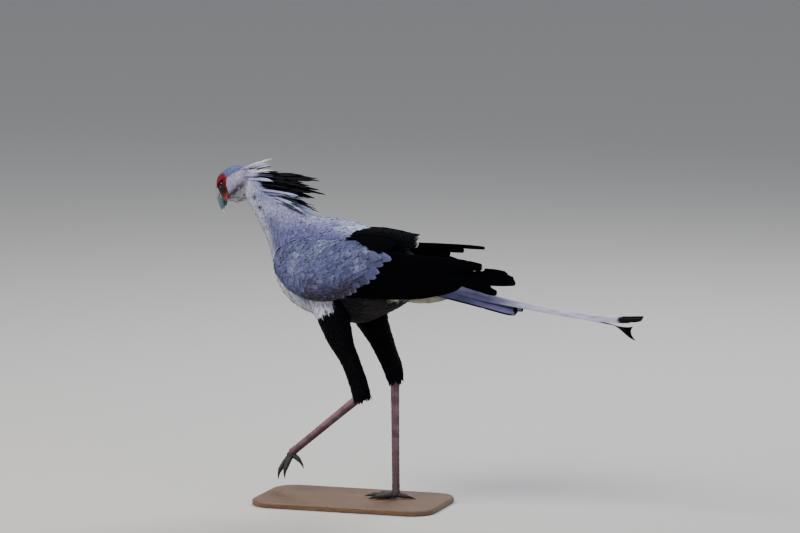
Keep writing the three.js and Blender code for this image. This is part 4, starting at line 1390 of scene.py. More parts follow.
@dataclass(frozen=True)
class TailFeather:
    """One tail feather: its side, size and how it hangs from the ridge."""

    hand: int
    length: float
    width: float
    drop: float
    apart: float
    rolls: tuple[float, ...]
    sag: float = 0.0
    long: bool = False
    hemmed: bool = False

    def grid(self, quill: Quill, rng: Rng) -> Grids:
        """The vane hangs from the ridge's edge: shaft = edge + across * width / 2, turned by its roll."""
        s = stations(quill)
        x = RIDGE[0][0] + self.length * s
        ridge = blend(RIDGE, (x - RIDGE[0][0]) / (RIDGE[-1][0] - RIDGE[0][0]) * (len(RIDGE) - 1))[:, 1]
        roll = blend([[np.radians(r)] for r in self.rolls], s * (len(self.rolls) - 1))[:, 0]
        across = np.stack([0 * s, self.hand * np.cos(roll), -np.sin(roll)], -1)
        face = np.stack([0 * s, self.hand * np.sin(roll), np.cos(roll)], -1)
        sag = self.sag * np.clip((s - 0.45) / 0.55, 0, 1) ** 1.3
        edge = np.stack([x, np.full_like(x, self.hand * self.apart), ridge - self.drop - sag], -1)
        spine = edge + across * self.width / 2
        width = np.array([self.width])
        points, barb = long_feathers(spine[None], across[None], face[None], width, quill, rng)
        side = 0.4 if self.hand > 0 else 0
        chart = np.array([[0.1 + 0.06 * self.drop / 5 + side, 0.1 + self.apart / 20]])
        points, barb, bake = charted(points, face[None, :, None], barb, chart)
        return Grids(points, self.tint(points, barb), barb, bake)

    def tint(self, p: Array, barb: Array) -> Array:
        """Grey; the long pair paler out along it, with a whitish painted highlight along its upper edge, and
        black bands; black along a short one's lower edge.
        """
        x = p[..., 0]
        over = barb[..., 0] / (self.width / 2)
        worn = 1 + 0.26 * speckle(p * [0.5, 1, 1], 11, 9)[..., None]
        if not self.long:
            end = RIDGE[0][0] + self.length
            hem = ease(over, 0.62, 0.76) * ease(x, 232, 262) * self.hemmed
            return mix(hue("tail_grey") * worn, hue("black"), np.maximum(hem, ease(x, end - 7, end - 4)))
        tone = mix(hue("tail_grey"), hue("streamer"), ease(x, 330, 500)) * worn
        # Painted highlight: white along the long pair's upper edge.
        tone = mix(tone, hue("white"), ease(over, -0.5, -0.85) * ease(x, 330, 380))
        if self.hand == RIGHT:
            return mix(tone, hue("black"), ease(x, 648, 654))
        bowed = 0.3 * np.abs(barb[..., 0])
        return layered(tone, ("black", ease(x - bowed, 700, 704)), ("white", ease(x + bowed, 771, 774)))


@dataclass
class Tail:
    """Folded tail: two long streamers over four shorter pairs, and the coverts at its root."""

    pairs: int = 4
    length: float = 300.0
    longer: float = 2.0  # each lower pair than the one above
    width: float = 36.0

    def feathers(self) -> list[TailFeather]:
        """Every tail feather, the short pairs lying lower and lower."""
        made = [
            TailFeather(LEFT, 655, 36, 1, 1, (44, 38, 16, 17, 24), 0, True),
            TailFeather(RIGHT, 600, 36, 3, 2, FAR_ROLLS, 27, True),
        ]
        for hand in (LEFT, RIGHT):
            for i in range(self.pairs):
                length, drop, apart = self.length + i * self.longer, 4 + 3.6 * i, 3 + 2.6 * i
                lowest = i == self.pairs - 1
                made.append(TailFeather(hand, length, self.width, drop, apart, (44, 40), hemmed=lowest))
        return made

    def build(self) -> None:
        """Feathers, then the skin of the tail's root and its coat."""
        rng = np.random.default_rng(SEED + 50)
        grids = []
        for one in self.feathers():
            quill = Quill(narrow=0.95, tip=0.75, taper=0.9, rounded=0.12, notches=2, deep=0.2, ridge=0.6)
            if one.long:
                quill = replace(quill, rows=76, tip=0.5, notches=4)
            if one.long and one.hand == RIGHT:
                quill = replace(quill, narrow=1.0, tip=1.25, taper=0.88, rounded=-0.3)
            grids.append(one.grid(quill, rng))
        finish = Plumage("tail_feather", barb_mm=1.8, shaft_share=0.12, shaft_mm=0.6, rough=0.7, sheen=0.0,
                         gloss=0.02)
        make_piece("tail_feathers", grids, finish, ("tail",), thick=0.6)
        core = Profile(TAIL_CORE, inset=3)
        make_piece("tail_skin", [Grids(core.skin(16, 28, (4, 8)), hue("tail_grey") * 0.6, closed=True)],
                   DOWN)
        Coat(
            "tail_coverts", core, graded([0], [8]), graded([0], [46], [15]), self.covert_tint, CONTOUR,
            "pale_feathers", lift=3.4, span_u=(0.0, 2.4), vane=Vane(rows=7, fray=0.06), seed=SEED + 3,
        ).build()

    @staticmethod
    def covert_tint(p: Array) -> Array:
        """Grey-white above and olive-tinged white below."""
        return mix(hue("undertail"), hue("streamer"), ease(p[..., 2], 575, 600))


# Head

EYE = {"forward": 18.0, "out": 19.5, "up": 15.0, "radius": 10.0}
# Outline of the bare face in side view, forward and up
BARE_FACE = [
    [-8, 20], [-5, 31], [4, 38], [15, 41], [27, 37], [36, 28], [44, 18], [46, 4], [44, -12], [36, -20],
    [26, -22], [19, -12], [13, -3], [6, 7],
]
UPPER_BILL = [
    [33, 0, 12, 16, 14], [43, 0, 5.5, 14.5, 12], [53, 0, -3, 12, 9.6], [61.5, 0, -13, 9.2, 7],
    [68, 0, -22.5, 6.6, 4.6], [72, 0, -30.5, 3.8, 2.6], [73.5, 0, -38, 1, 0.9],
]
LOWER_BILL = [[33, 0, -5, 6, 11], [43, 0, -12, 5, 8.2], [51.5, 0, -19.5, 3.8, 5.4], [58, 0, -26, 2, 2.6]]
BROW = [[1, 23, 26, 2, 3.4], [11, 25.5, 26, 2.8, 5.2], [22, 23.5, 25.5, 2.8, 5], [33, 17, 21, 2, 3]]
GAPE = [
    [20, 23, -17, 1.2, 1.6], [29, 19.5, -14, 1.8, 2.2],
    [38, 14.5, -10.5, 1.7, 2], [47, 10.6, -14.5, 1.0, 1.2],
]
NOSTRIL = (47.5, 3.5)  # forward and up of its middle
NOSTRIL_SLOPE = -0.95
# Crest and hackles: root, tip, width
CROWN = [
    [-314, -3, 854, -237, -5, 889, 6], [-314, 8, 850, -244, 12, 866, 6],
    [-313, -8, 851, -240, -12, 872, 6], [-312, -13, 848, -232, -19, 858, 7],
    [-310, 15, 846, -222, 20, 853, 8], [-308, -16, 842, -228, -24, 842, 8],
    [-306, -19, 833, -230, -27, 831, 8],
]
CREST = [
    [-298, -6, 855, -214, -9, 849, 8], [-290, -2, 840, -109, -6, 834, 12],
    [-288, 9, 836, -134, 15, 835, 13], [-286, -12, 832, -143, -24, 820, 14],
    [-282, 3, 826, -94, -3, 798, 15], [-280, 14, 824, -119, 20, 806, 15],
    [-278, -15, 820, -128, -21, 803, 16], [-270, -5, 814, -120, -8, 788, 14],
]
HACKLES = [
    [-256, -20, 804, -160, -29, 796, 8], [-254, -18, 800, -152, -29, 788, 8],
    [-250, 16, 798, -150, 27, 786, 8], [-248, -20, 793, -158, -30, 776, 7],
    [-240, -14, 792, -140, -20, 772, 8], [-238, -6, 790, -113, -9, 754, 8],
    [-236, 10, 790, -128, 14, 758, 8], [-232, -22, 782, -146, -33, 762, 7],
    [-226, -24, 778, -138, -34, 752, 7], [-226, 24, 778, -138, 34, 752, 7],
]
HACKLE_KINDS = "grey grey grey grey black grey black grey grey grey"
CROWN_KINDS = "white white grey white grey grey grey"
PLUME_SHARES = (1.0, 0.95, 0.89, 0.82, 0.74, 0.65)  # lengths of the plumes that lie along one line


def inside(points: Array, outline: Sequence[Sequence[float]]) -> Array:
    """Signed distance to a closed outline, positive inside.

    The distance is to the nearest edge. A point is inside where a ray from it crosses an odd number of edges.

    Args:
        points: (..., 2) places.
        outline: corners in order.

    Returns:
        Distances in mm.
    """
    a = np.asarray(outline, float)
    b = np.roll(a, -1, axis=0)
    p = points[..., None, :]
    edge = b - a
    t = np.clip(np.sum((p - a) * edge, -1) / np.sum(edge * edge, -1), 0, 1)
    distance = np.linalg.norm(p - a - t[..., None] * edge, axis=-1).min(-1)
    above = (a[:, 1] > p[..., 1]) != (b[:, 1] > p[..., 1])
    slope = np.where(edge[:, 1] == 0, 1e-9, edge[:, 1])
    crossing = above & (p[..., 0] < a[:, 0] + (p[..., 1] - a[:, 1]) / slope * edge[:, 0])
    return np.where(crossing.sum(-1) % 2 == 1, distance, -distance)


class Plume(Enum):
    """Kinds of crest feather."""

    WHITE = "white"
    GREY = "grey"
    BLACK = "black"


@dataclass
class Head:
    """Feathered skull with a bare face, lidded eyes under heavy brows, a hooked bill and a crest."""

    depth: float = 2.5
    lashes: int = 15

    def __post_init__(self) -> None:
        """The skull's rows as a side outline in the head's own frame."""
        rows = [[f, low, f, high, 0, wide] for f, low, high, wide in SKULL]
        self.skull = Profile(rows, inset=self.depth, warp=in_head)

    @staticmethod
    def face(p: Array) -> Array:
        """Signed distance inside the bare face's outline, at points in place."""
        return inside(np.stack(forward_up(p), -1), BARE_FACE)

    def skin_tint(self, p: Array) -> Array:
        """Crimson over and ahead of the eye, dark below it, orange at the gape, whitish along the front."""
        f, u = forward_up(p)
        shadow = 1.3 * blot(f, u, (22, 0), 7) + 0.9 * blot(f, u, (26, 8), 6) + 0.5 * blot(f, u, (33, 6), 8)
        slit = np.abs(u + 14 + 0.35 * (f - 30))
        tone = layered(
            hue("#8c0428"),
            ("#5c031a", ease(speckle(p, 7, 11), -0.3, 0.6)),
            ("#1c0608", shadow),
            ("#b3452a", ease(slit, 4.2, 2.0) * ease(f, 18, 24)),
            ("#c08a3c", ease(slit, 2.2, 1.0) * ease(f, 28, 36) * 0.8),
            ("#bdb4b8", ease(f + 0.35 * u, 41, 46) * ease(u, -6, 2)),
        )
        return mix(hue("cheek") * 0.6, tone, ease(self.face(p), -3, 0))

    def coat_tint(self, p: Array) -> Array:
        """Blue-grey cap over a whitish cheek and throat, a darker line between cap and cheek, and a painted
        shadow line between cheek and throat.
        """
        f, u = forward_up(p)
        border = u - (20 + 0.12 * f)
        line = np.exp(-((border - 1) ** 2) / 14) * ease(f, 10, -12) * 0.85
        # Painted shadow: a dark band below the cheek, where the throat feathers meet the head.
        throat_shadow = np.exp(-((u + 21 - 0.16 * (f - 10)) ** 2) / 22) * ease(f, -28, -12)
        return layered(
            hue("cheek"),
            ("cap", ease(border, -5, 4)),
            (hue("cap") * 0.5, line),
            ("#6d7391", ease(speckle(p, 9, 12), 0.1, 0.9) * 0.5),
            ("#a98a96", ease(speckle(p, 8, 13), 0.35, 0.9) * 0.6 * ease(border, 0, -10)),
            ("#e2dfe4", ease(speckle(p, 7, 14), 0.2, 0.8) * 0.5 * ease(border, 0, -10)),
            ("#3a3036", throat_shadow * 0.85),
            ("#dedbe0", ease(u, -22, -32) * 0.85),
        )

    def build(self) -> None:
        """Skin, coat, face details, bill and crest."""
        skin = self.skull.skin(80, 96, (4, 2))
        f, u = forward_up(skin)
        around = np.hypot(f - EYE["forward"], u - EYE["up"])
        folds = 0.5 * np.sin(around * 1.7) * ease(around, 9, 12) * ease(around, 24, 14)
        outward = unit(skin - in_head(np.array([5.0, 0.0, 0.0])))
        bare = self.face(skin)
        skin = skin + outward * (1.6 * ease(bare, -2, 2) + folds * ease(bare, 0, 3))[..., None]
        grid = Grids(skin, self.skin_tint(skin), closed=True)
        make_piece("head_skin", [grid], BareSkin(), ("head",))
        self.build_coats()
        self.build_eyes()
        self.build_bill()
        self.build_crest()

    def build_coats(self) -> None:
        """Feathers of the head, longer towards the neck, and fringes round the face and under the throat."""
        finish = Plumage("face_feather", barb_mm=0.9, shaft_mm=0.15, relief_mm=0.12, mottle_mm=5.0)
        for name, keep, gap, (length, width), (rear_length, rear_width), lift, seed in (
            ("head_coat", self.off_face, 2.1, (9.0, 3.4), (18.0, 4.5), 1.5, 4),
            ("face_fringe", self.by_face, 1.7, (4.5, 2.0), (4.5, 2.0), 1.3, 5),
            ("throat_fringe", self.on_throat, 3.2, (15.0, 3.2), (15.0, 3.2), 10.0, 6),
        ):
            Coat(
                name, self.skull, graded([0], [gap]),
                graded([1.2, 3], [rear_length, length], [rear_width, width]), self.coat_tint, finish,
                "pale_feathers", lift=lift, sink=0.4, lie=-1, vane=Vane(rows=3, fray=0.06), keep=keep,
                edge=0.14, span_u=(0.0, 6.9), seed=SEED + seed,
            ).build()

    def off_face(self, p: Array) -> Array:
        """Whether roots are outside the bare face."""
        return self.face(p) < -1.0

    def by_face(self, p: Array) -> Array:
        """Whether roots are along the bare face's outline."""
        return np.abs(self.face(p) + 1.5) < 2.5

    def on_throat(self, p: Array) -> Array:
        """Whether roots are under the chin, clear of the bare face."""
        forward, up = forward_up(p)
        return (self.face(p) < -2) & (up < -17) & (forward < 34)

    def build_eyes(self) -> None:
        """Eyeballs with iris and pupil, lids, brows and the long black lashes."""
        rng = np.random.default_rng(SEED + 60)
        polar = np.concatenate([np.linspace(0, 60, 26), np.linspace(66, 180, 14)])[:, None]
        p = np.radians(polar)[..., None]
        t = np.radians(np.linspace(0, 360, 40, endpoint=False))[None, :, None]
        bulge = 1 + 0.035 * np.exp(-((p / 0.5) ** 2))
        for name, hand in (("left", LEFT), ("right", RIGHT)):
            centre = np.array([EYE["forward"], -hand * EYE["out"], EYE["up"]])
            axis = unit(np.array([0.32, -hand * 1.0, 0.05]))
            level = unit(np.cross(UP, axis))
            over = np.cross(axis, level)
            spoke = np.cos(t) * level + np.sin(t) * over
            ball = centre + EYE["radius"] * bulge * (np.cos(p) * axis + np.sin(p) * spoke)
            ring = np.broadcast_to(polar, ball.shape[:2])
            tint = layered(
                hue("#050404"), ("#3a2417", ease(ring, 20, 23)), ("#1d100b", ease(ring, 36, 42)),
                ("#1a1210", ease(ring, 43, 46)),
            )
            about = (hand, centre, axis, level, over)
            make_piece(f"eye_ball_{name}", [Grids(in_head(ball)[None], tint, closed=True)], WetEye(),
                       (f"eye_{name}",))
            make_piece(f"eyelids_{name}", self.lids(*about), BareSkin())
            make_piece(f"lashes_{name}", [self.lash_grid(*about[1:], rng)], Horn("lash", rough=0.5))

    def lids(self, hand: int, centre: Array, axis: Array, level: Array, over: Array) -> list[Grids]:
        """A rounded rim about the eye and the heavy brow over it.

        The rim is a ring of radius 1.12 by 1 times the eye's, thicker above, with fine folds across it.
        """
        t = np.linspace(0, 2 * np.pi, 64, endpoint=False)[:, None]
        a = np.linspace(0, 2 * np.pi, 14, endpoint=False)[None]
        upper = ease(np.sin(t), -0.2, 0.8)
        spoke = np.cos(t)[..., None] * level * 1.14 + np.sin(t)[..., None] * over * 0.94
        middle = centre + axis * 3.6 + spoke * EYE["radius"] * 0.9
        thick = (1.5 + 1.2 * upper) * (1 + 0.06 * np.sin(18 * t))
        rim = middle + thick[..., None] * (np.cos(a)[..., None] * unit(spoke) + np.sin(a)[..., None] * axis)
        rim = in_head(np.concatenate([rim, rim[:1]])[None])
        # The rim is painted dark maroon: painted shade under the heavy brow.
        dark = mix(hue("#24070b"), hue("#6d0f22"), ease(speckle(rim, 4, 21), -0.2, 0.7))
        brow, gape = (
            Tube([[f, -hand * out, *rest] for f, out, *rest in rows], warp=in_head).skin(steps, sides, domes)
            for rows, steps, sides, domes in ((BROW, 30, 20, (2, 2)), (GAPE, 24, 14, (2, 1)))
        )
        wrinkled = brow + unit(brow - brow.mean(2, keepdims=True)) * (0.25 * np.sin(brow[..., :1] * 2.1))
        red = mix(hue("#9a0f2e"), hue("#5a0d1c"), ease(speckle(brow, 6, 22), 0, 0.7))
        orange = mix(hue("#93332a"), hue("#b07c3a"), ease(forward_up(gape)[0], 30, 46))
        parts = ((rim, dark), (wrinkled, red), (gape, orange))
        return [Grids(points, tint, closed=True) for points, tint in parts]

    def lash_grid(
        self, centre: Array, axis: Array, level: Array, over: Array, rng: Rng
    ) -> Grids:
        """Tapering hairs that curve out, forward and down: root + length * (s * d + s^2 * bend)."""
        n = self.lashes * 2
        t = np.radians(np.linspace(10, 170, n) + rng.uniform(-3, 3, n))[:, None]
        spoke = np.cos(t) * level * 1.1 + np.sin(t) * over * 0.95
        root = centre + axis * 5.0 + spoke * EYE["radius"] * 0.95
        direction = unit(spoke * 0.9 + axis * 0.7 + rng.normal(0, 0.12, (n, 3)))
        length = rng.uniform(8, 13, (n, 1, 1))
        s = np.linspace(0, 1, 8)[None, :, None]
        spine = root[:, None] + length * (s * direction[:, None] + 0.35 * s * s * np.array([0.4, 0, -1.0]))
        thick = 0.42 * (1 - 0.85 * s)
        a = np.linspace(0, 2 * np.pi, 6, endpoint=False)
        first = unit(np.cross(direction, axis + 0.01))[:, None, None]
        second = np.cross(direction[:, None, None], first)
        ring = np.cos(a)[:, None] * first + np.sin(a)[:, None] * second
        points = spine[:, :, None] + thick[..., None] * ring
        ends = [np.repeat(spine[:, k, None], 6, axis=1)[:, None] for k in (0, -1)]
        return Grids(in_head(np.concatenate([ends[0], points, ends[1]], axis=1)), hue("#0b0a0c"), closed=True)

    def build_bill(self) -> None:
        """Upper and lower bill: blue-grey horn, paler at the tip, with a soft cere and a slit nostril."""
        upper = Tube(UPPER_BILL, warp=in_head).skin(64, 48, (2, 0.8))
        own = to_head(upper)
        f, u = own[..., 0], own[..., 2]
        along, across = (f - NOSTRIL[0]), (u - NOSTRIL[1])
        major = (along + NOSTRIL_SLOPE * across) / np.hypot(1, NOSTRIL_SLOPE)
        minor = (across - NOSTRIL_SLOPE * along) / np.hypot(1, NOSTRIL_SLOPE)
        pit = np.exp(-((major / 5.0) ** 2) - (minor / 1.5) ** 2)
        cere = ease(f - 0.45 * u, 54, 48)
        push = -2.4 * pit + 0.5 * cere
        inward = own * np.array([0, 1.0, 0]) / np.maximum(np.abs(own[..., 1:2]), 1)
        upper = in_head(own + inward * push[..., None])
        tone = layered(
            hue("#5d7885"),
            ("#a9a6aa", cere * 0.85),
            ("#4d7584", ease(u, -8, -16) * (1 - cere)),
            ("#1c2536", ease(f + 0.75 * u, 46, 37) * ease(u, -2, -8) * ease(u, -34, -28)),
            ("#dcdfd6", ease(u, -25, -31)),
            ("#15100f", pit * 1.3),
        )
        finish = Horn("bill_keratin")
        make_piece("upper_bill", [Grids(upper, tone, closed=True)], finish, ("bill_upper",))
        lower = Tube(LOWER_BILL, warp=in_head).skin(40, 32, (2, 1))
        tone = mix(hue("#8a5f33"), hue("#222c3a"), ease(forward_up(lower)[0], 36, 42))
        make_piece("lower_bill", [Grids(lower, tone, closed=True)], finish, ("bill_lower",))

    def build_crest(self) -> None:
        """Crown plumes, the long drooping crest and the hackles of the nape."""
        rng = np.random.default_rng(SEED + 70)
        kinds = [Plume(word) for word in CROWN_KINDS.split() + ["black"] * len(CREST) + HACKLE_KINDS.split()]
        grids = []
        for row, kind in zip(CROWN + CREST + HACKLES, kinds):
            grids.append(self.plume(np.array(row, float), kind, rng))
        for row, other in zip(CREST[1:], CREST[3:]):
            middle = (np.array(row, float) + other) / 2
            middle[3:6] = middle[0:3] + (middle[3:6] - middle[0:3]) * 0.86
            grids.append(self.plume(middle, Plume.BLACK, rng))
        finish = Plumage("crest_feather", barb_mm=1.8, rough=0.6, sheen=0.0, shaft_share=0.1, mottle=0.12,
                         gloss=0.08)
        make_piece("crest", grids, finish, thick=0.45)

    @staticmethod
    def plume(row: Array, kind: Plume, rng: Rng) -> Grids:
        """A few plumes lying along one line, each a little shorter and turned: limp, ragged and drooping."""
        share = np.array(PLUME_SHARES if kind is Plume.BLACK else PLUME_SHARES[:4])
        n = len(share)
        root, tip, width = row[0:3], row[3:6], row[6]
        roots = root + rng.normal(0, 1.5 if kind is Plume.BLACK else 3.0, (n, 3))
        loose = rng.normal(0, 1.0, (n, 3)) * [2, 4, 4.5] * (share < 1)[:, None]
        tips = root + (tip - root) * share[:, None] + loose
        chord = tips - roots
        quill = Quill(rows=27, narrow=0.85, tip=0.2, taper=0.66, rounded=0.5, foot=0.25, notches=9, deep=0.5,
                      camber=0.12, ridge=0.4, fray=3.0)
        s = stations(quill)[None, :, None]
        start = roots - unit(chord) * 16
        spine = start[:, None] + (tips - start)[:, None] * s + UP * 8 * s * (1 - s)
        spine = spine + SIDE * (rng.normal(0, 2.5, (n, 1, 1)) * s * (1 - s) * 4)
        along = unit(chord)
        level = unit(SIDE - along * along[:, 1:2])
        up = np.cross(along, level)
        up = up * np.sign(up[:, 2:3])
        roll = np.radians((-48 if root[1] > 0 else 48) + rng.uniform(-16, 16, (n, 1)))
        across = np.broadcast_to((level * np.cos(roll) + up * np.sin(roll))[:, None], spine.shape)
        face = np.cross(across, unit(np.gradient(spine, axis=1)))
        points, barb = long_feathers(spine, across, face, width * rng.uniform(0.75, 1.0, n), quill, rng)
        points, barb, bake = charted(points, face[:, :, None], barb, rng.uniform(0.05, 0.95, (n, 2)))
        ones = np.ones(points.shape[:3])
        if kind is Plume.WHITE:
            tint = mix(hue("neck"), hue("white"), ease(s, 0.15, 0.5) * ones)
        elif kind is Plume.GREY:
            tint = mix(hue("neck"), hue("mantle_edge") * 0.9, ease(s, 0.4, 0.95) * ones)
            some = rng.uniform(0, 1, (n, 1, 1)) > 0.7
            tint = mix(tint, hue("black"), some * ease(s, 0.4, 0.6) * ones * 0.9)
        else:
            border = 0.1 + rng.uniform(-0.05, 0.06, (n, 1, 1)) + 0.06 * np.abs(COLUMNS)
            tint = mix(hue("neck"), hue("black"), ease(s - border, 0, 0.08) * ones)
        return Grids(points, tint, barb, bake)


# Legs

TARSUS = 308.0
SHANK_SIZES = [
    [0, 12, 10.5], [0.05, 12.5, 10.8], [0.14, 11, 9.2], [0.5, 10.2, 8.4], [0.9, 9.8, 8.6], [1, 11, 9.8],
]
TOE_SIZES = [7.8, 7.6, 7.2, 6.9, 6.2]
CLAW_SIZES = [[0, 4.7], [0.25, 4.4], [0.5, 3.5], [0.75, 2.2], [1, 0.8]]
CLAW_LENGTH, CLAW_HOOK, CLAW_THIN = 23.0, 0.34, 0.85
STANDING_HOOK = 3.2  # drop of a claw that lies on the base, mm
FOOT_PAD = (12.5, 11.5, 9.6)  # half sizes of the ball of the foot, mm
TOE_PLATES = 8
SOLE_LIFTED, SOLE_FLAT, SOLE_HIND = (1, 0, -0.35), (0, 0, -1), (-0.3, 0, -1)


@dataclass
class Leg:
    """A feathered thigh over a long scaled shank, with short stout toes."""

    name: str
    hock: tuple[float, float, float]
    aim: tuple[float, float, float]
    thigh: Sequence[Sequence[float]]
    toes: dict[str, tuple[tuple[float, ...], tuple[float, ...], tuple[float, ...]]]
    depth: float = 3.5
    scutes: int = 21

    def __post_init__(self) -> None:
        """Shank's axis, and the surfaces of thigh and shank."""
        start = np.array(self.hock, float)
        self.ankle = start + unit(np.array(self.aim, float)) * TARSUS
        run = self.ankle - start
        self.shank = Tube([[*(start + run * s), tall, wide] for s, tall, wide in SHANK_SIZES])
        self.feathered = Profile(self.thigh, inset=self.depth)

    @staticmethod
    def thigh_tint(p: Array) -> Array:
        """Black, faintly brown in places, under pale ragged breast feathers at its top front."""
        x, z = p[..., 0], p[..., 2]
        tone = mix(hue("black"), hue("brown_black"), ease(speckle(p, 20, 31), 0, 0.8))
        over = z - 487 - 0.55 * (x + 125) + 7 * speckle(p, 9, 32)
        return mix(tone, hue("breast"), ease(over, -2, 4) * ease(x, -46, -56))

    def build(self) -> None:
        """Thigh and its coat, then shank, foot and claws."""
        finish = Plumage("thigh_feather", rough=0.7, sheen=0.0, shaft_share=0.0, relief_mm=0.15, gloss=0.06)
        skin = self.feathered.skin(40, 32, (14, 5))
        make_piece(f"thigh_skin_{self.name}", [Grids(skin, hue("black"), closed=True)], finish,
                   (f"thigh_{self.name}",))
        rows = [0, 4, 8]
        Coat(
            f"thigh_coat_{self.name}", self.feathered, graded(rows, [5.6, 4.4, 3.4]),
            graded(rows, [32, 26, 18], [10, 8, 6]), self.thigh_tint, finish, "black_feathers", lift=4.2,
            sink=0.6, edge=0.05, vary=0.2, span_u=(0.2, 7.95), vane=Vane(fray=0.06), seed=SEED + 6,
        ).build()
        self.build_shank()
        self.build_foot()

    def plates(
        self, tube: Tube, starts: Array, span: float, middle: float, half_turn: float, rise: float
    ) -> Grids:
        """Overlapping scutes on a limb.

        Each is a patch of the limb's surface, raised by rise * (1 - x^8) * (1 - y^8) towards its lower edge
        and sunk at its rim.

        Args:
            tube: the limb.
            starts: where each begins along the rows.
            span: how long each is, in rows.
            middle: angle of their middles, degrees.
            half_turn: how far they reach round each way, degrees.
            rise: how far they stand off, mm.

        Returns:
            One grid for each scute.
        """
        q = np.linspace(-1, 1, 11)[None, :, None]
        r = np.linspace(-1, 1, 13)[None, None, :]
        u = starts[:, None, None] + (q + 1) / 2 * span * (1 - 0.16 * r * r)
        v = middle + half_turn * r * (1 - 0.1 * q * q)
        u, v = np.broadcast_arrays(u, v)
        point, _, _, normal = tube.frame(u, v)
        height = -0.7 + (rise + 0.7) * (1 - q**8) * (1 - r**8) * (0.75 + 0.25 * q)
        made = point + normal * np.broadcast_to(height, u.shape)[..., None]
        made, normal = face_out(made, normal, np.broadcast_to(normal, made.shape))
        return Grids(made, self.scale_tint(made, q, r) * self.shadow(normal))

    @staticmethod
    def shadow(normal: Array) -> Array:
        """Skin is darker where it faces down: 1 - 0.6 * how far down."""
        return 1 - 0.6 * ease(-normal[..., 2:3], -0.1, 0.6)

    @staticmethod
    def scale_tint(p: Array, q: Array, r: Array) -> Array:
        """Pinkish grey horn, darker down the shank and in the seams between plates."""
        seam = np.maximum(ease(np.abs(q), 0.75, 1.0), ease(np.abs(r), 0.8, 1.0))
        return layered(
            hue("#96697b"),
            ("#6a4251", ease(speckle(p, 16, 41), -0.2, 0.8)),
            ("#4b3238", ease(p[..., 2], 190, 60) * 0.8),
            ("#2e1f23", np.broadcast_to(seam, p.shape[:-1]) * 0.8),
        )

    def front(self, tube: Tube) -> float:
        """Angle round the shank that faces the bird's front."""
        middle = (len(tube.rows) - 1) / 2
        ahead = [tube.at(np.array(middle), np.array(v))[0] for v in (90.0, -90.0)]
        return 90.0 if ahead[0] < ahead[1] else -90.0

    def scale_rows(self, low: float, high: float, count: int) -> list[tuple[Array, float]]:
        """Evenly spaced places down the shank and the gap at each, both in the shank's rows."""
        rows = np.arange(len(SHANK_SIZES))
        found = np.interp(np.linspace(low, high, count), [r[0] for r in SHANK_SIZES], rows)
        return [(np.array([start]), float(gap)) for start, gap in zip(found, np.gradient(found))]

    def build_shank(self) -> None:
        """Shank with a row of broad scutes in front, another behind and rounded scales along the sides."""
        tube = self.shank
        skin = tube.skin(90, 32, (7, 4))
        normal = unit(skin - skin.mean(2, keepdims=True))
        base = self.scale_tint(skin, np.zeros(1), np.zeros(1)) * self.shadow(normal)
        front = self.front(tube)
        grids = [Grids(skin, base, closed=True)]
        for facing, turn in ((front, 58.0), (-front, 46.0)):
            for start, gap in self.scale_rows(0.03, 0.95, self.scutes):
                grids.append(self.plates(tube, start, gap * 1.02, facing, turn, 0.9))
        for middle in (0.0, 180.0):
            for i, (start, gap) in enumerate(self.scale_rows(0.02, 0.96, self.scutes * 2)):
                for offset in (-17.0, 6.0) if i % 2 else (-6.0, 17.0):
                    grids.append(self.plates(tube, start, gap * 0.96, middle + offset, 10.5, 0.55))
        make_piece(f"scaled_shank_{self.name}", grids, ScaleSkin("shank_scales"),
                   (f"shank_{self.name}",))

    def toe_path(self, digit: str) -> Callable[[Array], Array]:
        """Curve of a toe from under the ankle over its knuckle to its end, and straight on past it."""
        knuckle, end, _ = (np.array(v, float) for v in self.toes[digit])
        start = np.array([knuckle[0] * 0.1, knuckle[1] * 0.1, -6.0])
        heading = unit(end - knuckle)

        def path(s: Array) -> Array:
            """Points at shares s of the toe."""
            s = np.asarray(s, float)
            beyond = np.maximum(0, s - 1)[..., None] * 30 * heading
            return bezier(start, knuckle, end, np.minimum(s, 1)) + beyond + self.ankle

        return path

    def toe_across(self, digit: str) -> Array:
        """Unit direction across a toe, level with its sole."""
        path = self.toe_path(digit)
        return unit(np.cross(unit(path(1.0) - path(0.6)), np.array(self.toes[digit][2], float)))

    def build_foot(self) -> None:
        """Pad, toes with plates above and pads below, and the claws."""
        a = np.linspace(-np.pi / 2, np.pi / 2, 24)[:, None]
        b = np.linspace(0, 2 * np.pi, 32, endpoint=False)[None]
        ball = np.broadcast_arrays(np.cos(a) * np.cos(b), np.cos(a) * np.sin(b), np.sin(a))
        pad = (np.stack(ball, -1) * FOOT_PAD + self.ankle + np.array([-2.0, 0, -6.5]))[None]
        grids = [Grids(pad, hue("#171112"), closed=True)]
        for digit, (_, _, sole) in self.toes.items():
            path = self.toe_path(digit)
            rows = [[*p, r * 0.92, r] for p, r in zip(path(np.linspace(0, 1, len(TOE_SIZES))), TOE_SIZES)]
            toe = Tube(rows, across=self.toe_across(digit))
            skin = toe.skin(44, 28, (5, 4))
            ripple = 0.35 * np.sin(np.arange(skin.shape[1]) * 0.9)[None, :, None, None]
            skin = skin + unit(skin - skin.mean(2, keepdims=True)) * ripple
            shade = mix(hue("#1d1718"), hue("#120e0f"), ease(speckle(skin, 8, 43), -0.3, 0.7))
            grids.append(Grids(skin, shade, closed=True))
            above, below = (toe.at(np.array(2.0), np.array(v)) for v in (90.0, -90.0))
            top = -90.0 if (above - below) @ np.array(sole) > 0 else 90.0
            plate_grid = self.plates(toe, np.linspace(0.5, 3.6, TOE_PLATES), 0.42, top, 62.0, 0.8)
            plate_grid.tint = plate_grid.tint * 0.16
            grids.append(plate_grid)
        make_piece(f"scaled_foot_{self.name}", grids, ScaleSkin("toe_scales"),
                   (f"foot_{self.name}",))
        horn = Horn("claw_keratin", rough=0.3)
        for digit in self.toes:
            make_piece(f"horn_claw_{self.name}_{digit}", [self.claw(digit)], horn,
                       (f"claw_{self.name}_{digit}",))

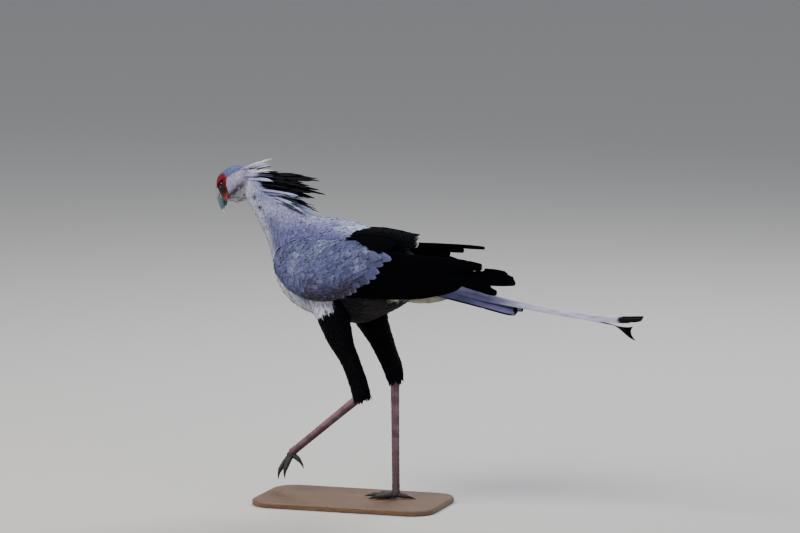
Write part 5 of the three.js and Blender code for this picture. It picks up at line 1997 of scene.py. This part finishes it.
    def claw(self, digit: str) -> Grids:
        """A tapering hook: path(0.95) + s * length along it, dropped by hook * s^2."""
        path, across = self.toe_path(digit), self.toe_across(digit)
        sole = np.array(self.toes[digit][2], float)
        along = unit(path(1.0) - path(0.9))
        down = unit(np.cross(along, across))
        down = down * (1 if down @ sole > 0 else -1)
        rows = []
        for s, r in CLAW_SIZES:
            hook = STANDING_HOOK * s * s if sole[0] == 0 else CLAW_HOOK * CLAW_LENGTH * s * s
            rows.append([*(path(0.95) + along * s * (CLAW_LENGTH + 3) + down * hook), r, r * CLAW_THIN])
        skin = Tube(rows, across=across).skin(24, 18, (2, 1.2))
        reach = np.linalg.norm(skin - path(0.95), axis=-1)
        return Grids(skin, mix(hue("#1c1819"), hue("#3c3532"), ease(reach, 12, 26)), closed=True)


LEGS = (
    Leg(
        "left", (24, -52, 284), (-229.5, 98, -181.4),
        [
            [-132, 562, -20, 572, -46, 40], [-118, 512, -18, 532, -50, 40], [-90, 461, -12, 486, -55, 37],
            [-74, 428, -6, 450, -56, 33], [-54, 396, 0, 417, -55, 28], [-33, 363, 11, 386, -54, 25],
            [-19, 330, 23, 354, -53, 23], [-9, 299, 35, 322, -52, 21], [-4, 279, 44, 288, -51, 20],
        ],
        {
            "middle": ((-19, -4, -24), (-33, -3, -49), SOLE_LIFTED),
            "inner": ((-15, 9, -19), (-25, 16, -40), SOLE_LIFTED),
            "outer": ((-6, -13, -22), (-12, -19, -42), SOLE_LIFTED),
            "hind": ((11, -3, -10), (21, -4, -19), SOLE_HIND),
        },
    ),
    Leg(
        "right", (83, 38, 325), (8.6, -18, -307.4),
        [
            [-58, 560, 56, 566, 44, 40], [-46, 506, 54, 522, 50, 40], [-30, 458, 56, 478, 54, 37],
            [-9, 431, 64, 447, 52, 33], [12, 404, 74, 419, 49, 29], [29, 376, 84, 391, 46, 26],
            [43, 352, 94, 369, 43, 24], [52, 334, 102, 349, 40, 22], [61, 314, 105, 329, 38, 20],
        ],
        {
            "middle": ((-30, -1, -8.6), (-62, -2, -9.8), SOLE_FLAT),
            "inner": ((-24, -14, -8.8), (-43, -28, -10), SOLE_FLAT),
            "outer": ((-24, 14, -8.8), (-45, 27, -10), SOLE_FLAT),
            "hind": ((16, 2, -9), (29, 3, -10.6), SOLE_FLAT),
        },
    ),
)


def dress_base() -> None:
    """Gives the display board its oiled oak."""
    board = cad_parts["stand_base"]
    board.data.materials.clear()
    board.data.materials.append(OiledBoard().build())


def main() -> None:
    """Builds the bird piece by piece and reports each."""
    logging.basicConfig(level=logging.INFO, format="%(name)s %(message)s")
    Studio().build()
    Body().build()
    for wing in WINGS:
        wing.build()
    Mantle().build()
    Tail().build()
    Head().build()
    for leg in LEGS:
        leg.build()
    dress_base()


if __name__ == "__main__":
    main()
